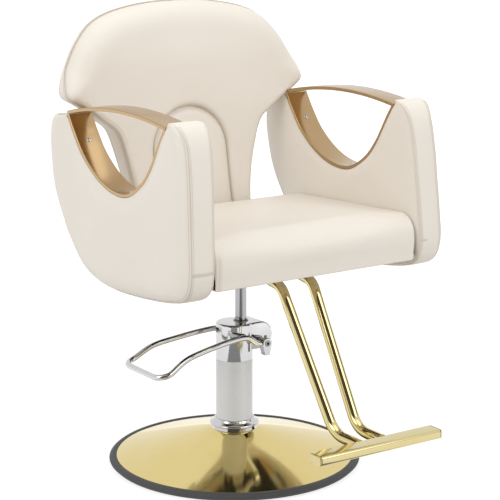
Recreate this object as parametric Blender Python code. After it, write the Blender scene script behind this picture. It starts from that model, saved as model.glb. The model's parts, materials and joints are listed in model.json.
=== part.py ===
"""Hairdressing chair: hydraulic pedestal, upholstered seat with arms, backrest and T-bar footrest.

Metres, +Z up. The origin is the centre of the round base on the floor, the chair faces -Y,
and +X is the sitter's left. Pieces that turn with the seat are modelled around the lift rod's axis,
with their heights measured from the underside of the seat board.
"""
import math

import bmesh
import bpy
import numpy as np
from mathutils import Vector

# Clearances
GAP = 0.0003
SLIDE_GAP = 0.0004
CUT_OVERRUN = 0.010

# Round base
BASE_RADIUS = 0.2875
TRIM_HEIGHT = 0.0195
TRIM_WALL = 0.010
TRIM_LIP = 0.022
TRIM_FLANGE = 0.0105
TRIM_BELT = 0.0095
TRIM_UNDERCUT = 0.006
TRIM_SLOPE = 0.006
DISH_THICKNESS = 0.0025
DISH_RISE = 0.0615
DISH_HUB_TOP = 0.008
DISH_HUB_RISE = 0.010
DISH_HUB_LENGTH = 0.014
FOOT_MARGIN = 0.0147
FOOT_THICKNESS = 0.006
FOOT_CLEARANCE = 0.003

# Base flange
FLANGE_WIDTH = 0.0143
FLANGE_HEIGHT = 0.012
FLANGE_BOLTS = 4
FLANGE_BOLT_RADIUS = 0.003
FLANGE_BOLT_DEPTH = 0.008

# Pump
TUBE_RADIUS = 0.0413
TUBE_WALL = 0.0035
TUBE_TOP = 0.240
HEAD_OVERHANG = 0.0007
HEAD_HEIGHT = 0.084
HEAD_EDGE = 0.004
LOBE_RADIUS = 0.031
LOBE_WIDTH = 0.070
LOBE_DROP = 0.001
ROD_RADIUS = 0.013
ROD_EDGE = 0.0015
ROD_ENGAGEMENT = 0.0425
LIFT_DOWN = 0.060
BARREL_WALL = 0.0022
BARREL_CLEARANCE = 0.001
BARREL_SPARE = 0.024
PISTON_RADIUS = 0.0162
PISTON_HEIGHT = 0.024
GLAND_WALL = 0.0034
GLAND_DEPTH = 0.034
GLAND_PROUD = 0.0026

# Pump lever
PIVOT_DROP = 0.0463
PIVOT_RADIUS = 0.0075
PIVOT_WALL = 0.0077
SOCKET_RADIUS = 0.0041
SOCKET_DEPTH = 0.006
COLLAR_RADIUS = 0.0125
COLLAR_WIDTH = 0.018
COLLAR_INSET = 0.001
LUG_LENGTH = 0.027
LUG_TIP = 0.006
LEVER_ROD = 0.0065
LEVER_CLEARANCE = 0.0035
LEVER_REACH = 0.295
LEVER_HALF_WIDTH = 0.077
LEVER_CROWN = 0.019
LEVER_DROP = 0.030
LEVER_TOE = 0.006
LEVER_CORNER = 0.026
LEVER_COURSE = [(0.17, 0.04, 1.0), (0.34, 0.20, 1.0), (0.58, 0.48, 0.55), (0.76, 0.76, 0.0)]
SET_SCREW_RADIUS = 0.0035
SET_SCREW_LENGTH = 0.009

# Seat carrier under the cushion
SEAT_HEIGHT = 0.4841
LOCK_RING_HEIGHT = 0.008
LOCK_RING_WALL = 0.0051
SOCKET_HEIGHT = 0.066
SOCKET_SMALL_RADIUS = 0.022
SOCKET_LARGE_RADIUS = 0.040
PLATE_HALF = 0.085
PLATE_THICKNESS = 0.0058
PLATE_BOLT_EDGE = 0.020
BOLT_RADIUS = 0.004
BOLT_HEAD_RADIUS = 0.0075
BOLT_HEAD_HEIGHT = 0.0055
BOARD_THICKNESS = 0.012
BOARD_MARGIN = 0.009

# Seat cushion
SEAT_HALF_WIDTH = 0.259
SEAT_FRONT = -0.293
SEAT_TOP = 0.099
SEAT_FALL = 0.055
SEAT_CROWN = 0.012
SEAT_NOSE = 0.020
SEAT_NOSE_DEPTH = 0.060
SEAT_CORNER = 0.045

# Backrest
BACK_BOTTOM = 0.005
BACK_FOOT_Y = 0.164
BACK_SLOPE = 0.245
BACK_RADIUS = 2.38
BACK_WRAP = 0.0335
BACK_THICKNESS = 0.074
BACK_CROWN = 0.010
WING_OVERHANG = 0.0655
WING_Z = 0.350
BACK_TOP = 0.538
CAP_EDGE = [(1.0, 0.0), (0.98, 0.09), (0.943, 0.20), (0.898, 0.34), (0.823, 0.565), (0.703, 0.777),
            (0.53, 0.903), (0.262, 0.98), (0.0, 1.0)]
STEM_BOTTOM_HALF = 0.150
STEM_WAIST = (0.010, 0.120)
STEM_TOP_HALF = 0.188
STEM_TOP_Z = 0.258
STEM_FLARE = [(-0.012, -0.050), (0.006, 0.0), (0.036, 0.025)]
WING_UNDER = [(-0.0585, -0.036), (-0.0285, -0.0195), (-0.0085, -0.0105)]
BACK_HEART_RISE = 0.035
BACK_PROFILE = [(0.25, 0.0), (0.55, 0.0), (0.80, 0.04), (0.93, 0.095), (0.983, 0.16), (1.0, 0.27),
                (0.993, 0.5), (1.0, 0.76), (0.983, 0.87), (0.93, 0.95), (0.80, 0.99), (0.45, 1.0)]
PAD_HALF_WIDTH = 0.100
PAD_TOP = 0.296
PAD_DEPTH = 0.028
PAD_PROUD = 0.0096
PAD_CREASE = 0.004
PAD_RINGS = (0.2, 0.45, 0.7, 0.97)
BRACKET_WIDTH = 0.040
BRACKET_THICKNESS = 0.005
BRACKET_SPACING = 0.080
BRACKET_HEIGHT = 0.110
BRACKET_SETBACK = 0.006

# Arms
ARM_CLEARANCE = 0.0035
ARM_THICKNESS = 0.0705
ARM_LEAN = 0.04
ARM_INNER_LEAN = 0.05
ARM_INNER_LEAN_REAR = 0.11
ARM_LEAN_START = 0.056
ARM_CROWN = 0.004
ARM_EDGE = 0.024
ARM_EYE_EDGE = 0.004
ARM_TIP_LIFT = 0.005
ARM_TIP_SHRINK = 0.86
ARM_STATIONS = 41
EYE_EDGE = [(-0.219, 0.345), (-0.190, 0.305), (-0.152, 0.244), (-0.111, 0.199), (-0.053, 0.167),
            (0.011, 0.165), (0.077, 0.186), (0.137, 0.226), (0.177, 0.272), (0.2015, 0.308)]
ARM_EDGE_LINE = [(-0.265, 0.346), (-0.283, 0.290), (-0.295, 0.156), (-0.304, 0.051), (-0.291, 0.004),
                 (-0.250, -0.018), (-0.136, -0.036), (0.000, -0.043), (0.075, -0.034), (0.135, -0.008),
                 (0.199, 0.054), (0.256, 0.136), (0.283, 0.221), (0.284, 0.273), (0.268, 0.303)]

# Metal band of each arm
BAND_INSET = 0.0015
BAND_WIDTH = 0.059
BAND_THICKNESS = 0.008
BAND_STATIONS = 33
BAR_STATIONS = 19
BAR_PEAK_Y = -0.043
BAR_PEAK_Z = 0.349
BAR_RADIUS = 1.025
BAND_SCREW_RADIUS = 0.0055
BAND_SCREW_SHANK = 0.0033
BAND_SCREW_HEAD = 0.0022
BAND_SCREW_PLACES = (0.50, 0.88)

# Arm brackets under the seat
ARM_BRACKET_LEG = 0.045
ARM_BRACKET_DROP = 0.022
ARM_BRACKET_WIDTH = 0.040
ARM_BRACKET_THICKNESS = 0.003
ARM_BRACKET_PLACES = (-0.17, 0.06)

# Footrest
FOOT_TUBE_RADIUS = 0.0118
FOOT_TUBE_SPREAD = 0.041
FOOT_TUBE_FOOT_SPREAD = 0.030
FOOT_TUBE_BEND_Y = -0.205
FOOT_TUBE_END_Y = -0.478
FOOT_TUBE_END_Z = -0.316
FOOT_TUBE_SETBACK = 0.020
FOOT_TUBE_BEND = 0.060
FOOT_TUBE_RUN = 0.083
FOOT_BAR_HALF = 0.154
FOOT_BAR_DEPTH = 0.041
FOOT_BAR_HEIGHT = 0.020
FOOT_BAR_ROUND = 0.005
FOOT_CAP_THICKNESS = 0.004
FOOT_PLATE_SETBACK = 0.025
FOOT_PLATE_LENGTH = 0.065
FOOT_PLATE_THICKNESS = 0.003
FOOT_PLATE_MARGIN = 0.004
FOOT_BOLT_CLEARANCE = 0.002
STUD_RADIUS = 0.0075
STUD_HEIGHT = 0.004

# Facets
ROUND_SIDES = 40
WIDE_SIDES = 48
BORE_SIDES = 28
PIN_SIDES = 20
SMALL_SIDES = 16
BOLT_SIDES = 12
SMOOTH_ANGLE = math.radians(35)

# Places that follow from the sizes above
TUBE_BORE = TUBE_RADIUS - TUBE_WALL
BASE_BORE = TUBE_RADIUS + SLIDE_GAP
HUB_RADIUS = BASE_BORE + DISH_HUB_TOP
FLANGE_RADIUS = BASE_BORE + FLANGE_WIDTH
FLANGE_BOLT_CIRCLE = (BASE_BORE + FLANGE_RADIUS) / 2
FOOT_RADIUS = TUBE_RADIUS + FOOT_MARGIN
FOOT_TOP = FOOT_CLEARANCE + FOOT_THICKNESS
TUBE_BOTTOM = FOOT_TOP + GAP
HEAD_RADIUS = TUBE_RADIUS + HEAD_OVERHANG
HEAD_BOTTOM = TUBE_TOP + GAP
HEAD_TOP = HEAD_BOTTOM + HEAD_HEIGHT
LOBE_Z = HEAD_TOP - LOBE_RADIUS - LOBE_DROP
BARREL_BORE = PISTON_RADIUS + SLIDE_GAP
BARREL_RADIUS = BARREL_BORE + BARREL_WALL
ROD_OFFSET = TUBE_BORE - BARREL_CLEARANCE - BARREL_RADIUS
ROD_BOTTOM = TUBE_BOTTOM + BARREL_SPARE + LIFT_DOWN + PISTON_HEIGHT + GAP
ROD_BORE = ROD_RADIUS + SLIDE_GAP
GLAND_RADIUS = ROD_BORE + GLAND_WALL
PIVOT_X = ROD_OFFSET + GLAND_RADIUS + PIVOT_WALL + PIVOT_RADIUS
PIVOT_Z = HEAD_TOP - PIVOT_DROP
LEVER_ARM_Y = HEAD_RADIUS + LEVER_CLEARANCE + LEVER_ROD
COLLAR_INNER = LEVER_ARM_Y - COLLAR_WIDTH / 2
COLLAR_OUTER = LEVER_ARM_Y + COLLAR_WIDTH / 2
PIVOT_HALF = COLLAR_OUTER + COLLAR_INSET
PLATE_TOP = -GAP
PLATE_BOTTOM = PLATE_TOP - PLATE_THICKNESS
PLATE_BOLT_PITCH = PLATE_HALF - PLATE_BOLT_EDGE
SOCKET_TOP = PLATE_BOTTOM - GAP
SOCKET_BOTTOM = SOCKET_TOP - SOCKET_HEIGHT
LOCK_RING_TOP = SOCKET_BOTTOM - GAP
LOCK_RING_BOTTOM = LOCK_RING_TOP - LOCK_RING_HEIGHT
ROD_TOP = SOCKET_BOTTOM + ROD_ENGAGEMENT
SEAT_BOTTOM = BOARD_THICKNESS + GAP
SEAT_REAR = BACK_FOOT_Y - PAD_PROUD - 2 * GAP
WING_HALF_WIDTH = SEAT_HALF_WIDTH + WING_OVERHANG
ARM_INNER = SEAT_HALF_WIDTH + ARM_CLEARANCE
ARM_OUTER = ARM_INNER + ARM_THICKNESS
BAND_INNER = ARM_INNER + BAND_INSET
BAND_OUTER = BAND_INNER + BAND_WIDTH
BAND_CENTRE = (BAND_INNER + BAND_OUTER) / 2
FOOT_PLATE_TOP = -GAP
FOOT_PLATE_BOTTOM = FOOT_PLATE_TOP - FOOT_PLATE_THICKNESS
FOOT_PLATE_REAR = -PLATE_HALF - FOOT_PLATE_SETBACK
FOOT_PLATE_FRONT = FOOT_PLATE_REAR - FOOT_PLATE_LENGTH
FOOT_BOLT_X = FOOT_TUBE_SPREAD + FOOT_TUBE_RADIUS + BOLT_HEAD_RADIUS + FOOT_BOLT_CLEARANCE
FOOT_BOLT_Y = (FOOT_PLATE_FRONT + FOOT_PLATE_REAR) / 2
FOOT_PLATE_HALF = FOOT_BOLT_X + BOLT_HEAD_RADIUS + FOOT_PLATE_MARGIN
FOOT_TUBE_TOP_Z = FOOT_PLATE_BOTTOM - GAP - FOOT_TUBE_RADIUS
FOOT_TUBE_REAR = -PLATE_HALF - FOOT_TUBE_SETBACK


def srgb(code):
    """Turns a hex sRGB colour into linear red, green, blue and alpha."""
    channels = [int(code[i:i + 2], 16) / 255 for i in (1, 3, 5)]
    linear = [c / 12.92 if c <= 0.04045 else ((c + 0.055) / 1.055) ** 2.4 for c in channels]
    return (*linear, 1.0)


def finish(name, colour, metallic, roughness):
    """A Principled material of one colour."""
    material = bpy.data.materials.new(name)
    material.use_nodes = True
    shader = material.node_tree.nodes["Principled BSDF"]
    shader.inputs["Base Color"].default_value = srgb(colour)
    shader.inputs["Metallic"].default_value = metallic
    shader.inputs["Roughness"].default_value = roughness
    material.diffuse_color = srgb(colour)
    return material


def clear_scene():
    for item in list(bpy.data.objects):
        bpy.data.objects.remove(item, do_unlink=True)


def axis_empty(name, place):
    """An empty on a joint's axis, which carries the pieces that move about it."""
    empty = bpy.data.objects.new(name, None)
    empty.location = place
    bpy.context.collection.objects.link(empty)
    return empty


def piece(name, verts, faces, material, parent=None):
    """A named mesh object with outward faces, smooth where it is round."""
    mesh = bpy.data.meshes.new(name)
    mesh.from_pydata([tuple(map(float, v)) for v in verts], [], faces)
    body = bmesh.new()
    body.from_mesh(mesh)
    bmesh.ops.remove_doubles(body, verts=body.verts, dist=1e-6)
    bmesh.ops.recalc_face_normals(body, faces=body.faces)
    body.to_mesh(mesh)
    body.free()
    mesh.shade_smooth()
    mesh.set_sharp_from_angle(angle=SMOOTH_ANGLE)
    mesh.materials.append(material)
    item = bpy.data.objects.new(name, mesh)
    bpy.context.collection.objects.link(item)
    item.parent = parent
    return item


def loft(name, rings, material, parent=None):
    """Joins closed rings of equally many points into a skin, and closes both ends with a flat face."""
    count = len(rings[0])
    verts = [v for ring in rings for v in ring]
    faces = []
    for r in range(len(rings) - 1):
        low = r * count
        for i in range(count):
            j = (i + 1) % count
            faces.append((low + i, low + j, low + count + j, low + count + i))
    faces.append(tuple(range(count)))
    faces.append(tuple(range(len(verts) - count, len(verts))))
    return piece(name, verts, faces, material, parent)


def turned(name, profile, material, parent=None, centre=(0.0, 0.0), sides=ROUND_SIDES):
    """Spins a closed (radius, height) outline about the vertical axis at centre."""
    angles = np.arange(sides) * 2 * math.pi / sides
    rings = [[(centre[0] + r * math.cos(a), centre[1] + r * math.sin(a), z) for a in angles]
             for r, z in profile]
    count = len(profile)
    verts = [v for ring in rings for v in ring]
    faces = []
    for p in range(count):
        q = (p + 1) % count
        if profile[p][0] == 0 and profile[q][0] == 0:
            continue
        for i in range(sides):
            j = (i + 1) % sides
            face = [p * sides + i, p * sides + j, q * sides + j, q * sides + i]
            if profile[p][0] == 0:
                face = [p * sides, q * sides + j, q * sides + i]
            elif profile[q][0] == 0:
                face = [p * sides + i, p * sides + j, q * sides]
            faces.append(tuple(face))
    used = sorted({i for face in faces for i in face})
    place = {old: new for new, old in enumerate(used)}
    return piece(name, [verts[i] for i in used], [tuple(place[i] for i in f) for f in faces],
                 material, parent)


def prism(name, outline, low, high, axis, material, parent=None):
    """Extrudes a flat outline along axis 0, 1 or 2 from low to high."""
    def point(pair, depth):
        values = list(pair)
        values.insert(axis, depth)
        return tuple(values)
    return loft(name, [[point(p, low) for p in outline], [point(p, high) for p in outline]],
                material, parent)


def block(name, low, high, material, parent=None, edge=0.0):
    """A box between two corners, with its edges broken."""
    outline = [(low[0], low[1]), (high[0], low[1]), (high[0], high[1]), (low[0], high[1])]
    item = prism(name, outline, low[2], high[2], 2, material, parent)
    if edge:
        bevel(item, edge)
    return item


def bevel(item, width, segments=1):
    modifier = item.modifiers.new("edges", "BEVEL")
    modifier.width = width
    modifier.segments = segments
    modifier.limit_method = "ANGLE"
    modifier.angle_limit = math.radians(40)


def rod(name, start, end, radius, material, parent=None, sides=SMALL_SIDES):
    """A straight round bar between two points."""
    start, end = Vector(start), Vector(end)
    along = (end - start).normalized()
    side = along.orthogonal().normalized()
    other = along.cross(side)
    rings = []
    for middle in (start, end):
        rings.append([middle + radius * (math.cos(a) * side + math.sin(a) * other)
                      for a in np.arange(sides) * 2 * math.pi / sides])
    return loft(name, rings, material, parent)


def cutters(name, shapes):
    """Joins several closed shapes into one hidden tool for a Boolean."""
    body = bmesh.new()
    for shape in shapes:
        body.from_mesh(shape.data)
    mesh = bpy.data.meshes.new(name)
    body.to_mesh(mesh)
    body.free()
    tool = bpy.data.objects.new(name, mesh)
    bpy.context.collection.objects.link(tool)
    tool.parent = shapes[0].parent
    tool.hide_render = True
    tool.display_type = "WIRE"
    for shape in shapes:
        bpy.data.objects.remove(shape, do_unlink=True)
    return tool


def cut(item, tool, operation="DIFFERENCE"):
    modifier = item.modifiers.new(tool.name, "BOOLEAN")
    modifier.operation = operation
    modifier.solver = "EXACT"
    modifier.object = tool


def smooth_path(points, count):
    """Catmull-Rom curve through the points, evenly spaced along its length."""
    points = np.array(points, float)
    padded = np.vstack([2 * points[0] - points[1], points, 2 * points[-1] - points[-2]])
    t = np.linspace(0, 1, 24, endpoint=False)[:, None]
    runs = []
    for a, b, c, d in zip(padded, padded[1:], padded[2:], padded[3:]):
        runs.append(0.5 * (2 * b + (c - a) * t + (2 * a - 5 * b + 4 * c - d) * t ** 2
                           + (3 * b - a - 3 * c + d) * t ** 3))
    dense = np.vstack(runs + [points[-1:]])
    length = np.concatenate([[0], np.cumsum(np.linalg.norm(np.diff(dense, axis=0), axis=1))])
    even = np.linspace(0, length[-1], count)
    return np.stack([np.interp(even, length, dense[:, i]) for i in range(dense.shape[1])], 1)


def rounded_bends(corners, radius, steps=6):
    """A route of straight runs with its corners turned into arcs of one bend radius."""
    corners = [Vector(c) for c in corners]
    route = [corners[0]]
    for before, corner, after in zip(corners, corners[1:], corners[2:]):
        back = (before - corner).normalized()
        on = (after - corner).normalized()
        half = back.angle(on) / 2
        reach = radius / math.tan(half)
        centre = corner + (back + on).normalized() * radius / math.sin(half)
        start = corner + back * reach - centre
        end = corner + on * reach - centre
        sweep = start.angle(end)
        for i in range(steps + 1):
            turn = sweep * i / steps
            spoke = (start * math.sin(sweep - turn) + end * math.sin(turn)) / math.sin(sweep)
            route.append(centre + spoke)
    return route + [corners[-1]]


def tube(name, route, radius, material, parent=None, resolution=3):
    """A round bar or tube along a route, with flat ends."""
    curve = bpy.data.curves.new(name, "CURVE")
    curve.dimensions = "3D"
    curve.bevel_depth = radius
    curve.bevel_resolution = resolution
    curve.use_fill_caps = True
    spline = curve.splines.new("POLY")
    spline.points.add(len(route) - 1)
    for point, place in zip(spline.points, route):
        point.co = (*place, 1.0)
    spline.use_smooth = True
    curve.materials.append(material)
    item = bpy.data.objects.new(name, curve)
    bpy.context.collection.objects.link(item)
    item.parent = parent
    return item


def circle(radius, sides):
    """Points of a regular outline round the origin."""
    return [(radius * math.cos(a), radius * math.sin(a)) for a in np.arange(sides) * 2 * math.pi / sides]


def hex_bolt(name, x, y, head_top, shank_top, shank_radius, head_radius, head_height, material, parent=None):
    """A hex bolt that points up: its head ends at head_top, its shank at shank_top."""
    head = circle(head_radius, 6)
    neck = circle(shank_radius, BOLT_SIDES)
    wide = []
    for a, b in zip(head, head[1:] + head[:1]):
        wide += [a, ((a[0] + b[0]) / 2, (a[1] + b[1]) / 2)]
    rings = [(wide, head_top - head_height), (wide, head_top), (neck, head_top), (neck, shank_top)]
    return loft(name, [[(x + px, y + py, z) for px, py in ring] for ring, z in rings], material, parent)


def dish_height(radius):
    """Top of the dish: a cone with a short rise that ends level at the hub."""
    run = (BASE_RADIUS - TRIM_WALL - radius) / (BASE_RADIUS - TRIM_WALL - TUBE_RADIUS)
    hub = DISH_HUB_RISE * math.exp(-max(0, radius - HUB_RADIUS) / DISH_HUB_LENGTH)
    return TRIM_FLANGE + GAP + DISH_THICKNESS + DISH_RISE * run + hub


def build_base(metal, rubber, steel, bright):
    rim = BASE_RADIUS - TRIM_WALL - GAP
    radii = [BASE_BORE] + list(HUB_RADIUS + (rim - HUB_RADIUS) * np.linspace(0, 1, 11) ** 1.5)
    top = [(r, dish_height(r)) for r in radii]
    under = [(r, z - DISH_THICKNESS) for r, z in top]
    dish = turned("base_dish", top + under[::-1], metal, sides=WIDE_SIDES)

    slot_top = dish_height(BASE_RADIUS - TRIM_LIP) + GAP
    inner = BASE_RADIUS - TRIM_WALL
    lip = BASE_RADIUS - TRIM_LIP
    edge = TRIM_HEIGHT / 4
    trim = [(lip, 0), (BASE_RADIUS - TRIM_UNDERCUT, 0), (BASE_RADIUS, TRIM_BELT),
            (BASE_RADIUS - TRIM_SLOPE, TRIM_HEIGHT - edge), (BASE_RADIUS - 2 * TRIM_SLOPE, TRIM_HEIGHT),
            (lip + edge / 2, TRIM_HEIGHT), (lip, TRIM_HEIGHT - edge / 2), (lip, slot_top),
            (inner, slot_top), (inner, TRIM_FLANGE), (lip, TRIM_FLANGE)]
    turned("base_trim_ring", trim, rubber, sides=WIDE_SIDES)

    turned("pump_foot_plate", [(0, FOOT_TOP), (0, FOOT_CLEARANCE), (FOOT_RADIUS, FOOT_CLEARANCE),
                               (FOOT_RADIUS, FOOT_TOP)], steel)

    flange_top = dish_height(BASE_BORE) + GAP + FLANGE_HEIGHT
    soft = FLANGE_HEIGHT / 5
    seat_line = [(r, z + GAP) for r, z in top if r < FLANGE_RADIUS]
    seat_line.append((FLANGE_RADIUS, float(np.interp(FLANGE_RADIUS, radii, [z for r, z in top])) + GAP))
    shoulder = [(BASE_BORE, flange_top), (FLANGE_RADIUS - soft, flange_top),
                (FLANGE_RADIUS, flange_top - soft)]
    flange = turned("base_flange", shoulder + seat_line[::-1], bright, sides=WIDE_SIDES)
    holes = []
    for k in range(FLANGE_BOLTS):
        angle = (k + 0.5) * 2 * math.pi / FLANGE_BOLTS
        x = FLANGE_BOLT_CIRCLE * math.cos(angle)
        y = FLANGE_BOLT_CIRCLE * math.sin(angle)
        seat = dish_height(FLANGE_BOLT_CIRCLE + 2 * FLANGE_BOLT_RADIUS) - DISH_THICKNESS - GAP
        tip = dish_height(FLANGE_BOLT_CIRCLE) + FLANGE_BOLT_DEPTH
        hex_bolt("flange_bolt_%d" % (k + 1), x, y, seat, tip, FLANGE_BOLT_RADIUS, 2 * FLANGE_BOLT_RADIUS,
                 1.4 * FLANGE_BOLT_RADIUS, steel)
        holes.append(rod("hole", (x, y, FOOT_TOP), (x, y, tip + SLIDE_GAP),
                         FLANGE_BOLT_RADIUS + SLIDE_GAP, steel))
    tool = cutters("flange_bolt_holes", holes)
    cut(dish, tool)
    cut(flange, tool)


def build_pump(satin, chrome, steel, seal):
    turned("pump_cylinder", [(TUBE_BORE, TUBE_TOP), (TUBE_RADIUS, TUBE_TOP), (TUBE_RADIUS, TUBE_BOTTOM),
                             (TUBE_BORE, TUBE_BOTTOM)], satin)
    axis = (ROD_OFFSET, 0.0)
    turned("inner_barrel", [(BARREL_BORE, TUBE_TOP), (BARREL_RADIUS, TUBE_TOP), (BARREL_RADIUS, TUBE_BOTTOM),
                            (BARREL_BORE, TUBE_BOTTOM)], steel, centre=axis, sides=BORE_SIDES)

    round_edge = HEAD_EDGE * (1 - math.sqrt(0.5))
    head = turned("pump_head", [(0, HEAD_TOP), (HEAD_RADIUS - HEAD_EDGE, HEAD_TOP),
                                (HEAD_RADIUS - round_edge, HEAD_TOP - round_edge),
                                (HEAD_RADIUS, HEAD_TOP - HEAD_EDGE), (HEAD_RADIUS, HEAD_BOTTOM),
                                (0, HEAD_BOTTOM)], chrome)
    turn = np.linspace(math.pi / 2, -math.pi / 2, 13)
    lobe_outline = [(PIVOT_X + LOBE_RADIUS * math.cos(a), LOBE_Z + LOBE_RADIUS * math.sin(a)) for a in turn]
    lobe_outline += [(0.0, LOBE_Z - LOBE_RADIUS), (0.0, LOBE_Z + LOBE_RADIUS)]
    lobe = prism("lobe", lobe_outline, -LOBE_WIDTH / 2, LOBE_WIDTH / 2, 1, chrome)
    bevel(lobe, HEAD_EDGE, 2)
    lobe.hide_render = True
    lobe.display_type = "WIRE"
    cut(head, lobe, "UNION")
    bores = cutters("head_bores", [
        rod("bore", (ROD_OFFSET, 0, HEAD_BOTTOM - CUT_OVERRUN), (ROD_OFFSET, 0, HEAD_TOP + CUT_OVERRUN),
            GLAND_RADIUS + GAP, chrome, sides=BORE_SIDES),
        rod("bore", (PIVOT_X, -PIVOT_HALF, PIVOT_Z), (PIVOT_X, PIVOT_HALF, PIVOT_Z),
            PIVOT_RADIUS + SLIDE_GAP, chrome, sides=PIN_SIDES)])
    cut(head, bores)

    low = HEAD_TOP - GLAND_DEPTH
    high = HEAD_TOP + GLAND_PROUD
    turned("rod_gland", [(ROD_BORE, high), (GLAND_RADIUS - GLAND_PROUD / 2, high),
                         (GLAND_RADIUS, high - GLAND_PROUD / 2), (GLAND_RADIUS, low), (ROD_BORE, low)],
           seal, centre=axis, sides=BORE_SIDES)


def build_rod(bright, steel):
    lift = axis_empty("lift_axis", (ROD_OFFSET, 0, 0))
    end = SEAT_HEIGHT + ROD_TOP
    turned("piston_rod", [(0, end), (ROD_RADIUS - ROD_EDGE, end), (ROD_RADIUS, end - ROD_EDGE),
                          (ROD_RADIUS, ROD_BOTTOM), (0, ROD_BOTTOM)], bright, lift, sides=BORE_SIDES)
    top = ROD_BOTTOM - GAP
    turned("piston", [(0, top), (PISTON_RADIUS, top), (PISTON_RADIUS, top - PISTON_HEIGHT),
                      (0, top - PISTON_HEIGHT)], steel, lift, sides=BORE_SIDES)


def lever_route():
    """The bent loop from one collar round to the other, relative to the pivot."""
    start = -(COLLAR_RADIUS + 2 * GAP)
    spread = LEVER_HALF_WIDTH - LEVER_ARM_Y
    knots = [(start - LEVER_ROD, LEVER_ARM_Y, 0.0)]
    for reach, widen, crown in LEVER_COURSE:
        knots.append((-LEVER_REACH * reach, LEVER_ARM_Y + spread * widen, LEVER_CROWN * crown))
    knots.append((LEVER_CORNER - LEVER_REACH, LEVER_HALF_WIDTH, LEVER_TOE - LEVER_DROP))
    arm = [(start, LEVER_ARM_Y, 0.0)] + [tuple(p) for p in smooth_path(knots, 22)]
    turn = np.linspace(0, math.pi / 2, 6)[1:]
    corner = [(LEVER_CORNER - LEVER_REACH - LEVER_CORNER * math.sin(a),
               LEVER_HALF_WIDTH - LEVER_CORNER * (1 - math.cos(a)),
               LEVER_TOE * (1 - math.sin(a)) - LEVER_DROP) for a in turn]
    half = arm + corner
    return half + [(x, -y, z) for x, y, z in half[::-1]]


def build_lever(chrome, steel):
    pivot = axis_empty("lever_axis", (PIVOT_X, 0, PIVOT_Z))
    shaft = rod("pivot_shaft", (0, -PIVOT_HALF, 0), (0, PIVOT_HALF, 0), PIVOT_RADIUS, steel, pivot, PIN_SIDES)
    sockets = []
    for side in (-1, 1):
        sockets.append(prism("socket", circle(SOCKET_RADIUS, 6), side * (PIVOT_HALF - SOCKET_DEPTH),
                             side * (PIVOT_HALF + SOCKET_DEPTH), 1, steel, pivot))
    cut(shaft, cutters("shaft_sockets", sockets))
    tube("pump_lever", lever_route(), LEVER_ROD, chrome, pivot)
    for side, word in ((-1, "front"), (1, "rear")):
        near, far = sorted((side * COLLAR_INNER, side * COLLAR_OUTER))
        middle = side * LEVER_ARM_Y
        turn = np.linspace(math.radians(200), math.radians(-20), 15)
        outline = [(COLLAR_RADIUS * math.cos(a), COLLAR_RADIUS * math.sin(a)) for a in turn]
        outline += [(LUG_TIP, -LUG_LENGTH), (-LUG_TIP, -LUG_LENGTH)]
        collar = prism("lever_collar_%s" % word, outline, near, far, 1, chrome, pivot)
        screw_foot = PIVOT_RADIUS + 2 * GAP
        cut(collar, cutters("collar_bores_%s" % word, [
            rod("bore", (0, near - CUT_OVERRUN, 0), (0, far + CUT_OVERRUN, 0), PIVOT_RADIUS + GAP,
                steel, pivot, PIN_SIDES),
            rod("bore", (0, middle, PIVOT_RADIUS / 2), (0, middle, COLLAR_RADIUS + CUT_OVERRUN),
                SET_SCREW_RADIUS + GAP, steel, pivot, BOLT_SIDES)]))
        rod("collar_screw_%s" % word, (0, middle, screw_foot), (0, middle, screw_foot + SET_SCREW_LENGTH),
            SET_SCREW_RADIUS, steel, pivot, BOLT_SIDES)


def build_carrier(seat, black, steel, wood):
    ring = ROD_BORE + LOCK_RING_WALL
    turned("socket_lock_ring", [(ROD_BORE, LOCK_RING_TOP), (ring, LOCK_RING_TOP), (ring, LOCK_RING_BOTTOM),
                                (ROD_BORE, LOCK_RING_BOTTOM)], black, seat, sides=BORE_SIDES)
    roof = ROD_TOP + SLIDE_GAP
    turned("swivel_socket", [(0, SOCKET_TOP), (SOCKET_LARGE_RADIUS, SOCKET_TOP),
                             (SOCKET_SMALL_RADIUS, SOCKET_BOTTOM), (ROD_BORE, SOCKET_BOTTOM),
                             (ROD_BORE, roof), (0, roof)], black, seat, sides=BORE_SIDES)
    plate = block("seat_plate", (-PLATE_HALF, -PLATE_HALF, PLATE_BOTTOM), (PLATE_HALF, PLATE_HALF, PLATE_TOP),
                  steel, seat)
    half = SEAT_HALF_WIDTH - BOARD_MARGIN
    board = block("seat_board", (-half, SEAT_FRONT + BOARD_MARGIN, 0),
                  (half, SEAT_REAR - BOARD_MARGIN, BOARD_THICKNESS), wood, seat)
    holes = []
    for k in range(4):
        x = PLATE_BOLT_PITCH * (-1 if k % 2 else 1)
        y = PLATE_BOLT_PITCH * (-1 if k < 2 else 1)
        hex_bolt("seat_bolt_%d" % (k + 1), x, y, PLATE_BOTTOM - GAP, BOARD_THICKNESS - GAP, BOLT_RADIUS,
                 BOLT_HEAD_RADIUS, BOLT_HEAD_HEIGHT, steel, seat)
        holes.append(rod("hole", (x, y, PLATE_BOTTOM - CUT_OVERRUN), (x, y, BOARD_THICKNESS + CUT_OVERRUN),
                         BOLT_RADIUS + SLIDE_GAP, steel, seat, BOLT_SIDES))
    tool = cutters("seat_bolt_holes", holes)
    cut(plate, tool)
    return board, tool


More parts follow.
